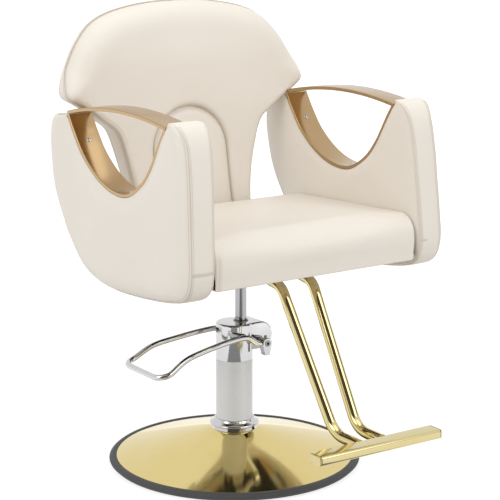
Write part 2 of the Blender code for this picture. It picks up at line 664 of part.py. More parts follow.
def rounded_rectangle(x0, x1, y0, y1, radius, per_corner, per_side):
    """Closed outline of a rectangle with round corners, as an array of points."""
    points = []
    corners = [(x1 - radius, y0 + radius, -90), (x1 - radius, y1 - radius, 0),
               (x0 + radius, y1 - radius, 90), (x0 + radius, y0 + radius, 180)]
    for cx, cy, start in corners:
        for a in np.radians(np.linspace(start, start + 90, per_corner)):
            points.append((cx + radius * math.cos(a), cy + radius * math.sin(a)))
    closed = points + points[:1]
    full = []
    for a, b in zip(closed, closed[1:]):
        full.append(a)
        if math.dist(a, b) > radius:
            for k in range(1, per_side + 1):
                t = k / (per_side + 1)
                full.append((a[0] + (b[0] - a[0]) * t, a[1] + (b[1] - a[1]) * t))
    return np.array(full)


def build_seat(seat, leather):
    plan = rounded_rectangle(-SEAT_HALF_WIDTH, SEAT_HALF_WIDTH, SEAT_FRONT, SEAT_REAR, SEAT_CORNER, 5, 7)
    middle = np.array([0.0, (SEAT_FRONT + SEAT_REAR) / 2])
    rise = SEAT_TOP - SEAT_BOTTOM
    sides = [(0.60, 0.0), (0.975, 0.0), (0.995, 0.06), (0.985, 0.40), (1.0, 0.68)]
    crown = [(0.992, 0.84), (0.965, 0.94), (0.92, 1.0), (0.80, 1.0), (0.55, 1.0), (0.25, 1.0)]
    rings = []
    for scale, level in sides + crown:
        flat = middle + (plan - middle) * scale
        height = np.full(len(plan), SEAT_BOTTOM + rise * level)
        if level > 0.5:
            nose = np.clip((SEAT_FRONT + SEAT_NOSE_DEPTH - flat[:, 1]) / SEAT_NOSE_DEPTH, 0, 1) ** 2
            height -= level * (SEAT_FALL * (flat[:, 1] - SEAT_FRONT) + SEAT_NOSE * nose)
            height += SEAT_CROWN * (1 - min(scale, 1.0) ** 2)
        rings.append(np.column_stack([flat, height]))
    return loft("seat_cushion", rings, leather, seat)


def back_face(x, z):
    """Depth of the backrest's front: leaned back, easing upright, with wings that wrap forward."""
    up = z - BACK_BOTTOM
    lean = BACK_SLOPE * up - up ** 2 / (2 * BACK_RADIUS)
    return BACK_FOOT_Y + lean - BACK_WRAP * (x / WING_HALF_WIDTH) ** 2


def back_outline():
    """Half of the backrest's outline from the foot of the stem up to the top, as (x, z)."""
    tip_x = WING_HALF_WIDTH
    knots = [(STEM_BOTTOM_HALF, BACK_BOTTOM), (STEM_BOTTOM_HALF + STEM_WAIST[0], BACK_BOTTOM + STEM_WAIST[1])]
    knots += [(STEM_TOP_HALF + x, STEM_TOP_Z + z) for x, z in STEM_FLARE]
    knots += [(tip_x + x, WING_Z + z) for x, z in WING_UNDER]
    lower = smooth_path(knots, 17)
    cap = smooth_path([(tip_x * x, WING_Z + (BACK_TOP - WING_Z) * z) for x, z in CAP_EDGE], 15)
    return np.vstack([lower, cap])


def build_back(seat, leather):
    half = back_outline()
    foot = [(x, BACK_BOTTOM) for x in np.linspace(-STEM_BOTTOM_HALF, STEM_BOTTOM_HALF, 5)[1:-1]]
    outline = np.vstack([half, (half * [-1, 1])[-2::-1], foot])
    heart = np.array([0.0, STEM_TOP_Z + BACK_HEART_RISE])
    rings = []
    for scale, share in BACK_PROFILE:
        flat = heart + (outline - heart) * scale
        front = back_face(flat[:, 0], flat[:, 1]) + BACK_THICKNESS * share
        if share < 0.5:
            front -= BACK_CROWN * (1 - scale ** 2)
        rings.append(np.column_stack([flat[:, 0], front, flat[:, 1]]))
    return loft("back_cushion", rings, leather, seat)


def pad_outline(margin, count=14):
    """Tombstone outline of the lumbar pad, as (x, z), grown by margin."""
    radius = PAD_HALF_WIDTH + margin
    spring = PAD_TOP - PAD_HALF_WIDTH
    turn = np.linspace(0, math.pi, count)
    arch = [(radius * math.cos(a), spring + radius * math.sin(a)) for a in turn]
    foot = SEAT_BOTTOM + GAP - margin
    levels = np.linspace(spring, foot, 6)[1:]
    left = [(-radius, z) for z in levels]
    across = [(x, foot) for x in np.linspace(-radius, radius, 5)[1:-1]]
    right = [(radius, z) for z in levels[::-1]]
    return np.array(arch + left + across + right)


def build_lumbar(seat, leather, back):
    middle = np.array([0.0, (PAD_TOP + SEAT_BOTTOM) / 2])

    def rings(outline, profile):
        made = []
        for scale, inward in profile:
            flat = middle + (outline - middle) * scale
            face = back_face(flat[:, 0], flat[:, 1])
            made.append(np.column_stack([flat[:, 0], face + inward, flat[:, 1]]))
        return made
    wide = pad_outline(PAD_CREASE)
    floor = [(scale, PAD_DEPTH) for scale in PAD_RINGS]
    recess = loft("recess", rings(wide, floor + [(1.0, PAD_DEPTH), (1.0, -3 * PAD_DEPTH)]), leather, seat)
    cut(back, cutters("lumbar_recess", [recess]))
    rear = [(scale, PAD_DEPTH - 2 * GAP) for scale in PAD_RINGS]
    front = [(1.0, PAD_DEPTH * 0.75), (1.0, PAD_DEPTH * 0.25), (0.985, PAD_DEPTH * 0.07),
             (0.94, -PAD_PROUD * 0.45), (0.84, -PAD_PROUD * 0.83), (0.6, -PAD_PROUD * 0.96),
             (0.3, -PAD_PROUD)]
    loft("lumbar_pad", rings(pad_outline(0.0), rear + front), leather, seat)


def build_back_brackets(seat, steel):
    """Two flat steel angles that carry the backrest from under the seat board."""
    low = -GAP - BRACKET_THICKNESS
    top = BACK_BOTTOM + BRACKET_HEIGHT
    behind = BACK_THICKNESS + 2 * GAP
    inner = BRACKET_SPACING - BRACKET_WIDTH / 2
    rise_low = back_face(inner, BACK_BOTTOM) + behind
    rise_high = back_face(inner, top) + behind
    lean = (rise_high - rise_low) / BRACKET_HEIGHT
    foot = rise_low - lean * (BACK_BOTTOM - low)
    start = PLATE_HALF + BRACKET_SETBACK
    t = BRACKET_THICKNESS
    outline = [(start, low), (foot + t, low), (rise_high + t, top), (rise_high, top),
               (foot + lean * t, low + t), (start, low + t)]
    for side, word in ((-1, "right"), (1, "left")):
        near = side * BRACKET_SPACING - BRACKET_WIDTH / 2
        prism("back_bracket_%s" % word, outline, near, near + BRACKET_WIDTH, 0, steel, seat)


def arm_outer(z):
    """Outer face of an arm: upright at the foot, leaning in towards the top."""
    return ARM_OUTER - ARM_LEAN * np.maximum(0, z - ARM_LEAN_START)


def arm_inner(y, z):
    """Inner face of an arm: the front post leans in towards its top, the rear post stands upright."""
    share = np.clip((ARM_INNER_LEAN_REAR - y) / (2 * ARM_INNER_LEAN_REAR), 0, 1)
    return ARM_INNER - ARM_INNER_LEAN * share * np.maximum(0, z - ARM_LEAN_START)


def arm_section(inner, outer, shrink=1.0):
    """Closed ring across the +X arm between its eye edge and its outer edge, as (x, y, z)."""
    inner = np.array(inner)
    outer = np.array(outer)
    span = outer - inner
    length = np.linalg.norm(span)
    small = ARM_EYE_EDGE / length
    large = min(ARM_EDGE / length, 0.45)
    wide = ARM_EDGE / ARM_THICKNESS
    thin = ARM_EYE_EDGE / ARM_THICKNESS
    bulge = ARM_CROWN / ARM_THICKNESS
    ring = [(0.0, thin), (0.0, 0.5), (0.0, 1 - thin), (small, 1.0), (0.5, 1 + bulge), (1 - large, 1.0),
            (1 - 0.3 * large, 1 - 0.3 * wide), (1.0, 1 - wide), (1 - 0.01, 0.5), (1.0, wide * 0.6),
            (1 - 0.18 * large, wide * 0.18), (1 - large * 0.6, 0.0), (0.5, 0.0), (small, 0.0)]
    points = []
    for v, t in ring:
        v = 0.5 + (v - 0.5) * shrink
        t = 0.5 + (t - 0.5) * shrink
        y, z = inner + span * v
        near = arm_inner(y, z)
        points.append((near + (arm_outer(z) - near) * t, y, z))
    return np.array(points)


def build_arms(seat, leather, bronze, chrome):
    eye = smooth_path(EYE_EDGE, ARM_STATIONS)
    edge = smooth_path(ARM_EDGE_LINE, ARM_STATIONS)
    rings = [arm_section(a, b) for a, b in zip(eye, edge)]
    for place, step in ((0, 1), (-1, -2)):
        lift = (eye[place] + edge[place] - eye[step] - edge[step]) / 2
        lift = lift / np.linalg.norm(lift) * ARM_TIP_LIFT
        cap = arm_section(eye[place], edge[place], ARM_TIP_SHRINK) + [0, *lift]
        rings = [cap] + rings if place == 0 else rings + [cap]
    fine = smooth_path(EYE_EDGE, 121)
    along = np.gradient(fine, axis=0)
    along /= np.linalg.norm(along, axis=1)[:, None]
    inward = np.column_stack([-along[:, 1], along[:, 0]])
    lower = fine + inward * GAP
    upper = fine + inward * (GAP + BAND_THICKNESS)

    def under_bar(line):
        return line[:, 1] < bar_top(line[:, 0]) - BAND_THICKNESS - GAP
    keep = np.flatnonzero(under_bar(lower) & under_bar(upper))
    picks = keep[0] + np.round(np.linspace(0, keep[-1] - keep[0], BAND_STATIONS)).astype(int)
    low_line, high_line = lower[picks], upper[picks]
    above = fine[:, 1] - bar_top(fine[:, 0]) + BAND_THICKNESS
    third = len(fine) // 3
    front_end = np.interp(0, above[third::-1], fine[third::-1, 0])
    rear_end = np.interp(0, above[-third:], fine[-third:, 0])
    bar_y = np.linspace(front_end + GAP, rear_end - GAP, BAR_STATIONS)
    x0, x1 = BAND_INNER, BAND_OUTER
    for side, word in ((-1, "right"), (1, "left")):
        flip = np.array([side, 1, 1])
        loft("arm_pad_%s" % word, [ring * flip for ring in rings], leather, seat)
        band = []
        for low, high in zip(low_line, high_line):
            band.append(np.array([(x0, *low), (x1, *low), (x1, *high), (x0, *high)]) * flip)
        liner = loft("arm_liner_%s" % word, band, bronze, seat)
        bar = []
        for y in bar_y:
            z = bar_top(y)
            bar.append(np.array([(x0, y, z - BAND_THICKNESS), (x1, y, z - BAND_THICKNESS), (x1, y, z),
                                 (x0, y, z)]) * flip)
        loft("armrest_bar_%s" % word, bar, bronze, seat)
        holes = []
        for k, place in enumerate(BAND_SCREW_PLACES):
            i = round(place * (len(fine) - 1))
            out = Vector((0, *inward[i]))
            foot = Vector((side * BAND_CENTRE, *fine[i])) + out * 2 * GAP
            face = Vector((side * BAND_CENTRE, *upper[i]))
            holes.append(rod("hole", foot - out * BAND_THICKNESS / 2, face + out * CUT_OVERRUN,
                             BAND_SCREW_SHANK + GAP, chrome, seat, BOLT_SIDES))
            screw_pin("band_screw_%s_%d" % (word, k + 1), foot, face + out * 2 * GAP, out, chrome, seat)
        cut(liner, cutters("band_screw_holes_%s" % word, holes))


def screw_pin(name, foot, face, out, material, parent):
    """A round-head screw whose shank stands in the band and whose head rests on it."""
    side = out.orthogonal().normalized()
    other = out.cross(side)
    turns = [(BAND_SCREW_SHANK, foot), (BAND_SCREW_SHANK, face), (BAND_SCREW_RADIUS, face),
             (BAND_SCREW_RADIUS * 0.92, face + out * BAND_SCREW_HEAD * 0.6),
             (BAND_SCREW_RADIUS * 0.55, face + out * BAND_SCREW_HEAD)]
    rings = []
    for radius, middle in turns:
        rings.append([middle + a * side + b * other for a, b in circle(radius, BOLT_SIDES)])
    loft(name, rings, material, parent)


def bar_top(y):
    """Top of the arched armrest bar."""
    return BAR_PEAK_Z - (y - BAR_PEAK_Y) ** 2 / (2 * BAR_RADIUS)


def build_arm_brackets(seat, steel):
    """Small steel angles that bolt each arm to the underside of the seat board."""
    top = -GAP
    t = ARM_BRACKET_THICKNESS
    face = ARM_INNER - GAP
    outline = [(face - ARM_BRACKET_LEG, top - t), (face - t, top - t), (face - t, top - ARM_BRACKET_DROP),
               (face, top - ARM_BRACKET_DROP), (face, top), (face - ARM_BRACKET_LEG, top)]
    for side, word in ((-1, "right"), (1, "left")):
        shape = [(side * x, z) for x, z in outline]
        for y, end in zip(ARM_BRACKET_PLACES, ("front", "rear")):
            prism("arm_bracket_%s_%s" % (word, end), shape, y - ARM_BRACKET_WIDTH / 2,
                  y + ARM_BRACKET_WIDTH / 2, 1, steel, seat)


def build_footrest(seat, gold, steel, rubber, board, bolt_tool):
    plate = block("footrest_plate", (-FOOT_PLATE_HALF, FOOT_PLATE_FRONT, FOOT_PLATE_BOTTOM),
                  (FOOT_PLATE_HALF, FOOT_PLATE_REAR, FOOT_PLATE_TOP), steel, seat)
    holes = []
    for side, word in ((-1, "right"), (1, "left")):
        x = side * FOOT_BOLT_X
        hex_bolt("footrest_bolt_%s" % word, x, FOOT_BOLT_Y, FOOT_PLATE_BOTTOM - GAP, BOARD_THICKNESS - GAP,
                 BOLT_RADIUS, BOLT_HEAD_RADIUS, BOLT_HEAD_HEIGHT, steel, seat)
        holes.append(rod("hole", (x, FOOT_BOLT_Y, FOOT_PLATE_BOTTOM - CUT_OVERRUN),
                         (x, FOOT_BOLT_Y, BOARD_THICKNESS + CUT_OVERRUN), BOLT_RADIUS + SLIDE_GAP,
                         steel, seat, BOLT_SIDES))
        corners = [(side * FOOT_TUBE_SPREAD, FOOT_TUBE_REAR, FOOT_TUBE_TOP_Z),
                   (side * FOOT_TUBE_SPREAD, FOOT_TUBE_BEND_Y, FOOT_TUBE_TOP_Z),
                   (side * FOOT_TUBE_FOOT_SPREAD, FOOT_TUBE_END_Y + FOOT_TUBE_RUN, FOOT_TUBE_END_Z),
                   (side * FOOT_TUBE_FOOT_SPREAD, FOOT_TUBE_END_Y, FOOT_TUBE_END_Z)]
        tube("footrest_tube_%s" % word, rounded_bends(corners, FOOT_TUBE_BEND), FOOT_TUBE_RADIUS, gold, seat)
    tool = cutters("footrest_bolt_holes", holes)
    cut(plate, tool)
    cut(board, tool)
    cut(board, bolt_tool)

    near = FOOT_TUBE_END_Y - GAP
    far = near - FOOT_BAR_DEPTH
    low = FOOT_TUBE_END_Z - FOOT_BAR_HEIGHT / 2
    section = rounded_rectangle(far, near, low, low + FOOT_BAR_HEIGHT, FOOT_BAR_ROUND, 4, 0)
    prism("footrest_bar", section, -FOOT_BAR_HALF, FOOT_BAR_HALF, 0, gold, seat)
    for side, word in ((-1, "right"), (1, "left")):
        face = side * (FOOT_BAR_HALF + GAP)
        cap = prism("footrest_cap_%s" % word, section, face, face + side * FOOT_CAP_THICKNESS, 0, gold, seat)
        bevel(cap, FOOT_CAP_THICKNESS / 3)
        x = side * FOOT_TUBE_FOOT_SPREAD
        y = (near + far) / 2
        rod("footrest_stud_%s" % word, (x, y, low - GAP), (x, y, low - GAP - STUD_HEIGHT), STUD_RADIUS,
            rubber, seat)


def build_chair():
    clear_scene()
    leather = finish("cream leatherette", "#ece3da", 0.0, 0.45)
    gold = finish("gold plated steel", "#dcca9c", 1.0, 0.18)
    bronze = finish("champagne bronze", "#b8976a", 1.0, 0.35)
    chrome = finish("chrome", "#dbdbdb", 1.0, 0.08)
    satin = finish("satin aluminium", "#c9c9c9", 1.0, 0.40)
    steel = finish("zinc plated steel", "#9a9a98", 1.0, 0.35)
    black = finish("black steel", "#1d1d1e", 0.3, 0.5)
    rubber = finish("dark rubber", "#4a4b4a", 0.0, 0.7)
    wood = finish("plywood", "#c8a877", 0.0, 0.7)

    build_base(gold, rubber, steel, chrome)
    build_pump(satin, chrome, steel, steel)
    build_rod(chrome, steel)
    build_lever(chrome, steel)
    seat = axis_empty("swivel_axis", (ROD_OFFSET, 0, SEAT_HEIGHT))
    board, bolt_tool = build_carrier(seat, black, steel, wood)
    build_seat(seat, leather)
    back = build_back(seat, leather)
    build_lumbar(seat, leather, back)
    build_back_brackets(seat, steel)
    build_arms(seat, leather, bronze, chrome)
    build_arm_brackets(seat, steel)
    build_footrest(seat, gold, steel, rubber, board, bolt_tool)


build_chair()
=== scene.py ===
# %% [markdown]
# # Dressing a hairdressing chair
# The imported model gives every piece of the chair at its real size, as plain faceted solids. This script
# covers them with the surfaces that the eye sees: sewn leatherette, plated metal, lacquer and rubber.
# Each shape is a grid of points worked out with numpy, and each finish is a small tree of shader nodes.

import json
import math

import bpy
import numpy as np
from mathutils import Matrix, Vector


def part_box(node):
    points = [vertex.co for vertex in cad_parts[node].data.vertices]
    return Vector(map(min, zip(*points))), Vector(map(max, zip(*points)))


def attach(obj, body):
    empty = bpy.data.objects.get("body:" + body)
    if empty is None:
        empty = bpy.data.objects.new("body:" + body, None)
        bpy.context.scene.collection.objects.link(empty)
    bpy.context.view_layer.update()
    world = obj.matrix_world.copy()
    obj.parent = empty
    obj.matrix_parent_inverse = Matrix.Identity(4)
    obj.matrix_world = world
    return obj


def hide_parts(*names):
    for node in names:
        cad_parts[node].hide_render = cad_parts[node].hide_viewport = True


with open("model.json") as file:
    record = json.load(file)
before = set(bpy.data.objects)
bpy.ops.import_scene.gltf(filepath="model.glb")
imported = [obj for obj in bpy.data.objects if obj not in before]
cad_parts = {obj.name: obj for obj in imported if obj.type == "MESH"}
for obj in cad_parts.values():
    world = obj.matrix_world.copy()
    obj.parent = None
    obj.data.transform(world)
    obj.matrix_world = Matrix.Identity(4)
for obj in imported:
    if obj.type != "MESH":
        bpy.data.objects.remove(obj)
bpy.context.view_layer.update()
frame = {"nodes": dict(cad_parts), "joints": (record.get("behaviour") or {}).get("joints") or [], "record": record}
joints = {joint["name"]: joint for joint in frame["joints"]}
AXIS_X = joints["swivel"]["pos_m"][0]
SEAT_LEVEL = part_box("seat_board")[0].z
print("frame:", len(frame["nodes"]), "nodes; seat axis x", AXIS_X, "and board z", round(SEAT_LEVEL, 4))

# %% [markdown]
# ## The camera
# The photograph is a product shot from the chair's right front, a little above seat height, with a long
# lens. A camera is a place, a direction and a focal length; these were fitted to the base's ellipse and to
# the straight edges of the pump, so the render can be laid over the photograph.

# %% Camera at the photograph's place
CAMERA_PLACE = (-2.231, -3.320, 1.407)
CAMERA_LOOKS = (0.5508, 0.8041, -0.2237)
SENSOR = 36.0
PIXELS_WIDE = 500
FOCAL_PIXELS = 1837.0

camera = bpy.data.objects.new("camera", bpy.data.cameras.new("camera"))
camera.data.sensor_width = SENSOR
camera.data.lens = FOCAL_PIXELS / PIXELS_WIDE * SENSOR
camera.location = CAMERA_PLACE
camera.rotation_euler = Vector(CAMERA_LOOKS).to_track_quat("-Z", "Y").to_euler()
bpy.context.scene.collection.objects.link(camera)
bpy.context.scene.camera = camera
print("camera: lens", round(camera.data.lens, 1), "mm")

# %% [markdown]
# ## Colours and shader nodes
# Colours are written as sRGB hex codes, but Blender mixes light in linear values, so one function
# converts them. One more function adds any node: its settings, and its inputs as numbers or as links.


# %% Colour and node helpers
def linear(code):
    """Hex sRGB to linear: the lower part is a straight line, the rest a power of 2.4."""
    value = np.array([int(code[i:i + 2], 16) for i in (1, 3, 5)]) / 255
    curve = np.where(value <= 0.04045, value / 12.92, ((value + 0.055) / 1.055) ** 2.4)
    return (*curve.tolist(), 1.0)


def add(tree, kind, inputs=None, **settings):
    """Adds a node of that kind; an input is a value, or (node, socket) for a link."""
    made = tree.nodes.new("ShaderNode" + kind)
    for name, value in settings.items():
        setattr(made, name, value)
    for key, value in (inputs or {}).items():
        if isinstance(value, tuple) and isinstance(value[0], bpy.types.Node):
            tree.links.new(value[0].outputs[value[1]], made.inputs[key])
        else:
            made.inputs[key].default_value = value
    return made


def start_material(name, **values):
    """A material with its Principled shader: sockets named in values are set on the shader itself."""
    material = bpy.data.materials.new(name)
    material.use_nodes = True
    tree = material.node_tree
    shader = tree.nodes["Principled BSDF"]
    for key, value in values.items():
        shader.inputs[key.replace("_", " ")].default_value = value
    return material, tree, shader


# Socket numbers of the Mix node when it mixes colours: two inputs and one output.
MIX_A, MIX_B, MIX_RESULT = 6, 7, 2
MM = 0.001


def wear(tree, shader, pattern, colours, rough=None, bump=None, span=(0.0, 1.0)):
    """One pattern moves a finish: its tint between two colours, its roughness and its height.

    The roughness goes from its first to its second value while the pattern goes over its span.
    """
    first, second = (linear(code) for code in colours)
    tint = add(tree, "Mix", {"Factor": (pattern, "Fac"), MIX_A: first, MIX_B: second}, data_type="RGBA")
    tree.links.new(tint.outputs[MIX_RESULT], shader.inputs["Base Color"])
    if rough:
        gloss = add(tree, "MapRange", {"Value": (pattern, "Fac"), "From Min": span[0], "From Max": span[1],
                                       "To Min": rough[0], "To Max": rough[1]})
        tree.links.new(gloss.outputs["Result"], shader.inputs["Roughness"])
    if bump:
        height = add(tree, "Bump", {"Height": (pattern, "Fac"), "Strength": bump[0], "Distance": bump[1]})
        tree.links.new(height.outputs["Normal"], shader.inputs["Normal"])

# %% [markdown]
# ## Leatherette
# The cover is PVC leatherette: a knitted cloth with a vinyl skin that was rolled against a grained drum.
# The eye gets a warm cream, a soft satin shine and a pebbled grain, with painted shade darkening the skin
# where it folds into a seam or a crease. The real grain is under a millimetre, so it is drawn at two
# millimetres to show.

# %% Leatherette material
GRAIN = 2.0 * MM
SLACK = 38 * MM
TONE = 160 * MM
THREAD_TWIST = 4 * MM


def make_leatherette():
    material, tree, shader = start_material("cream_leatherette", IOR=1.48, Sheen_Weight=0.06)
    place = add(tree, "TexCoord")
    tone = add(tree, "TexNoise", {"Vector": (place, "Object"), "Scale": 1 / TONE, "Detail": 3.0})
    cells = add(tree, "TexVoronoi", {"Vector": (place, "Object"), "Scale": 1 / GRAIN}, feature="SMOOTH_F1")
    slack = add(tree, "TexNoise", {"Vector": (place, "Object"), "Scale": 1 / SLACK, "Detail": 4.0})
    seam = add(tree, "Attribute", attribute_name="seam")
    skin = add(tree, "Mix", {"Factor": (tone, "Fac"), MIX_A: linear("#ece5db"), MIX_B: linear("#e6ded2")},
               data_type="RGBA")
    pores = add(tree, "MapRange", {"Value": (cells, "Distance"), "From Min": 0.2, "From Max": 0.9,
                                   "To Min": 0.0, "To Max": 0.10})
    grained = add(tree, "Mix", {"Factor": (pores, "Result"), MIX_A: (skin, MIX_RESULT),
                                MIX_B: linear("#c9bca9")}, data_type="RGBA")
    # Painted shade: the seam attribute darkens the skin towards #b9a893 in seams, creases and folds.
    seam_shaded = add(tree, "Mix", {"Factor": (seam, "Fac"), MIX_A: (grained, MIX_RESULT),
                               MIX_B: linear("#b9a893")}, data_type="RGBA")
    tree.links.new(seam_shaded.outputs[MIX_RESULT], shader.inputs["Base Color"])
    rough = add(tree, "MapRange", {"Value": (slack, "Fac"), "To Min": 0.40, "To Max": 0.52})
    tree.links.new(rough.outputs["Result"], shader.inputs["Roughness"])
    folds = add(tree, "Bump", {"Height": (slack, "Fac"), "Strength": 0.10, "Distance": 0.004})
    grain = add(tree, "Bump", {"Height": (cells, "Distance"), "Strength": 0.12, "Distance": 0.0004,
                               "Normal": (folds, "Normal")}, invert=True)
    tree.links.new(grain.outputs["Normal"], shader.inputs["Normal"])
    return material


def make_thread():
    """Polyester sewing thread: two plies twisted together, a little duller than the skin it holds."""
    material, tree, shader = start_material("polyester_thread", Roughness=0.7, Sheen_Weight=0.2)
    place = add(tree, "TexCoord")
    twist = add(tree, "TexWave", {"Vector": (place, "Object"), "Scale": 1 / THREAD_TWIST,
                                  "Distortion": 1.0}, bands_direction="DIAGONAL")
    wear(tree, shader, twist, ("#a8987e", "#c4b69f"), bump=(0.3, 0.0002))
    return material


LEATHERETTE = make_leatherette()
THREAD = make_thread()
print("materials:", LEATHERETTE.name, THREAD.name)

# %% [markdown]
# ## Plated metals
# The base and the footrest are steel, polished and plated in a pale gold; the bands of the arms carry a
# darker champagne plating that was brushed along its length; the pump's head and lever are bright chrome,
# and its rod is hard chrome, drawn darker as painted shade for the darker surroundings it mirrors. A plated
# metal takes its colour from its reflections, so each one is fully metallic. What tells them apart is the
# roughness: polishing lines and hand smudges break the reflection a little, brushing draws it out.

# %% Metal materials
SMUDGE = 70 * MM
SPIN_LINE = 1.5 * MM
BRUSH_LENGTH = 60 * MM
BRUSH_WIDTH = 0.7 * MM


def make_plated(name, colour, worn, rough, spread):
    """Polished plating: smudges move the roughness, and a slow drift moves the tint."""
    material, tree, shader = start_material(name, Metallic=1.0)
    place = add(tree, "TexCoord")
    smudge = add(tree, "TexNoise", {"Vector": (place, "Object"), "Scale": 1 / SMUDGE, "Detail": 6.0,
                                    "Roughness": 0.65})
    wear(tree, shader, smudge, (colour, worn), (rough, rough + spread), span=(0.3, 0.7))
    return material, tree, shader, place


def make_spun_gold():
    """The dish was polished while it spun, which leaves rings too fine to count: noise along the radius."""
    material, tree, shader, place = make_plated("spun_gold_plate", "#e0ce91", "#d9c47f", 0.06, 0.05)
    axes = add(tree, "SeparateXYZ", {"Vector": (place, "Object")})
    flat = add(tree, "CombineXYZ", {"X": (axes, "X"), "Y": (axes, "Y")})
    radius = add(tree, "VectorMath", {0: (flat, "Vector")}, operation="LENGTH")
    rings = add(tree, "TexNoise", {"W": (radius, "Value"), "Scale": 1 / SPIN_LINE, "Detail": 3.0},
                noise_dimensions="1D")
    bump = add(tree, "Bump", {"Height": (rings, "Fac"), "Strength": 0.02, "Distance": 0.0002})
    tree.links.new(bump.outputs["Normal"], shader.inputs["Normal"])
    return material


def make_brushed_bronze():
    """Brush marks run along the band: noise stretched along the first axis of the band's own UV map."""
    material, tree, shader = start_material("brushed_champagne_plate", Metallic=1.0, Anisotropic=0.35)
    place = add(tree, "UVMap", uv_map="metres")
    stretch = add(tree, "Mapping", {"Vector": (place, "UV"),
                                    "Scale": (1 / BRUSH_LENGTH, 1 / BRUSH_WIDTH, 1.0)})
    marks = add(tree, "TexNoise", {"Vector": (stretch, "Vector"), "Scale": 1.0, "Detail": 4.0})
    wear(tree, shader, marks, ("#ad9068", "#bda17a"), (0.15, 0.25), (0.06, 0.0002))
    return material


SPUN_GOLD = make_spun_gold()
GOLD = make_plated("polished_gold_plate", "#d9cc9c", "#cfbf89", 0.06, 0.05)[0]
BRONZE = make_brushed_bronze()
CHROME = make_plated("chrome_plate", "#d2d2d3", "#c6c6c8", 0.05, 0.05)[0]
# The rod's hard chrome is drawn darker: painted shade for the darker surroundings it mirrors.
HARD_CHROME_SHADED = make_plated("hard_chrome_shaded", "#adadaf", "#a2a2a4", 0.08, 0.05)[0]
ZINC = make_plated("zinc_plated_steel", "#a9a9a6", "#90918f", 0.30, 0.12)[0]
print("metals made")

# %% [markdown]
# ## Lacquer, rubber, cambric, enamel and plywood
# The pump's tube is steel under a silver lacquer, whose skin has the fine ripple called orange peel. The
# ring round the base is moulded rubber, matt and faintly mottled. The cloth under the seat is black cambric,
# and its black is also painted shade for the dark under the seat. The socket there is black enamel, and the
# board inside the seat is bare plywood.

# %% Other materials
RIPPLE = 5 * MM
MOTTLE = 3 * MM
PLY_GRAIN = 4 * MM
PLY_STRETCH = 25


def make_mottled(name, colour, other, size, rough, spread, bump_height, **values):
    """A finish with one fine noise that moves its colour, its roughness and its height."""
    material, tree, shader = start_material(name, **values)
    place = add(tree, "TexCoord")
    noise = add(tree, "TexNoise", {"Vector": (place, "Object"), "Scale": 1 / size, "Detail": 5.0})
    wear(tree, shader, noise, (colour, other), (rough, rough + spread), (0.25, bump_height))
    return material


def make_plywood():
    """Birch plywood: grain lines drawn out along the chair's width."""
    material, tree, shader = start_material("birch_plywood", IOR=1.5)
    place = add(tree, "TexCoord")
    stretch = add(tree, "Mapping", {"Vector": (place, "Object"),
                                    "Scale": (1 / (PLY_STRETCH * PLY_GRAIN), 1 / PLY_GRAIN, 1 / PLY_GRAIN)})
    grain = add(tree, "TexNoise", {"Vector": (stretch, "Vector"), "Scale": 1.0, "Detail": 6.0})
    wear(tree, shader, grain, ("#d3b587", "#b08c5a"), (0.55, 0.75))
    return material


LACQUER = make_mottled("silver_lacquer", "#e9e9e9", "#e1e1e2", RIPPLE, 0.42, 0.08, 0.0001, Metallic=0.1)
RUBBER = make_mottled("moulded_rubber", "#3b3c3b", "#484948", MOTTLE, 0.55, 0.15, 0.0003, IOR=1.52)
# The black cambric is a dust cloth whose black is also painted shade under the seat.
CAMBRIC_SHADE = make_mottled("black_cambric_shade", "#141414", "#232323", MOTTLE, 0.8, 0.1, 0.0003, Sheen_Weight=0.1)
ENAMEL = make_mottled("black_enamel", "#1c1c1e", "#242426", RIPPLE, 0.28, 0.10, 0.0002, IOR=1.5)
PLYWOOD = make_plywood()
print("other finishes made")

# %% [markdown]
# ## From a grid of points to a piece
# Nearly every shape here is a grid: rows of points that run along the piece, each row a ring round it. A
# grid needs no modelling operators, because its faces follow from counting. The UV map is in metres, so a
# pattern on it keeps its real scale, and a float attribute carries the painted shade of seams and creases.


# %% Grid helper
SHARP_EDGE = 40
CAST_EDGE = 35
TINY = 1e-12


def new_piece(name, points, faces, material):
    """An object at the origin with its mesh, its material and its place in the scene."""
    mesh = bpy.data.meshes.new(name)
    mesh.from_pydata(points, [], faces)
    mesh.materials.append(material)
    piece = bpy.data.objects.new(name, mesh)
    bpy.context.scene.collection.objects.link(piece)
    return piece


def smooth(mesh, degrees):
    """Smooth shading, except across edges sharper than the angle."""
    mesh.shade_smooth()
    mesh.set_sharp_from_angle(angle=math.radians(degrees))


def ring_lengths(points, closed):
    """Running length along the second axis of a grid, averaged over its rows, in metres."""
    step = np.linalg.norm(np.diff(points, axis=1), axis=2).mean(0)
    last = np.linalg.norm(points[:, 0] - points[:, -1], axis=1).mean()
    return np.concatenate([[0], np.cumsum(step), [step.sum() + last] if closed else []])


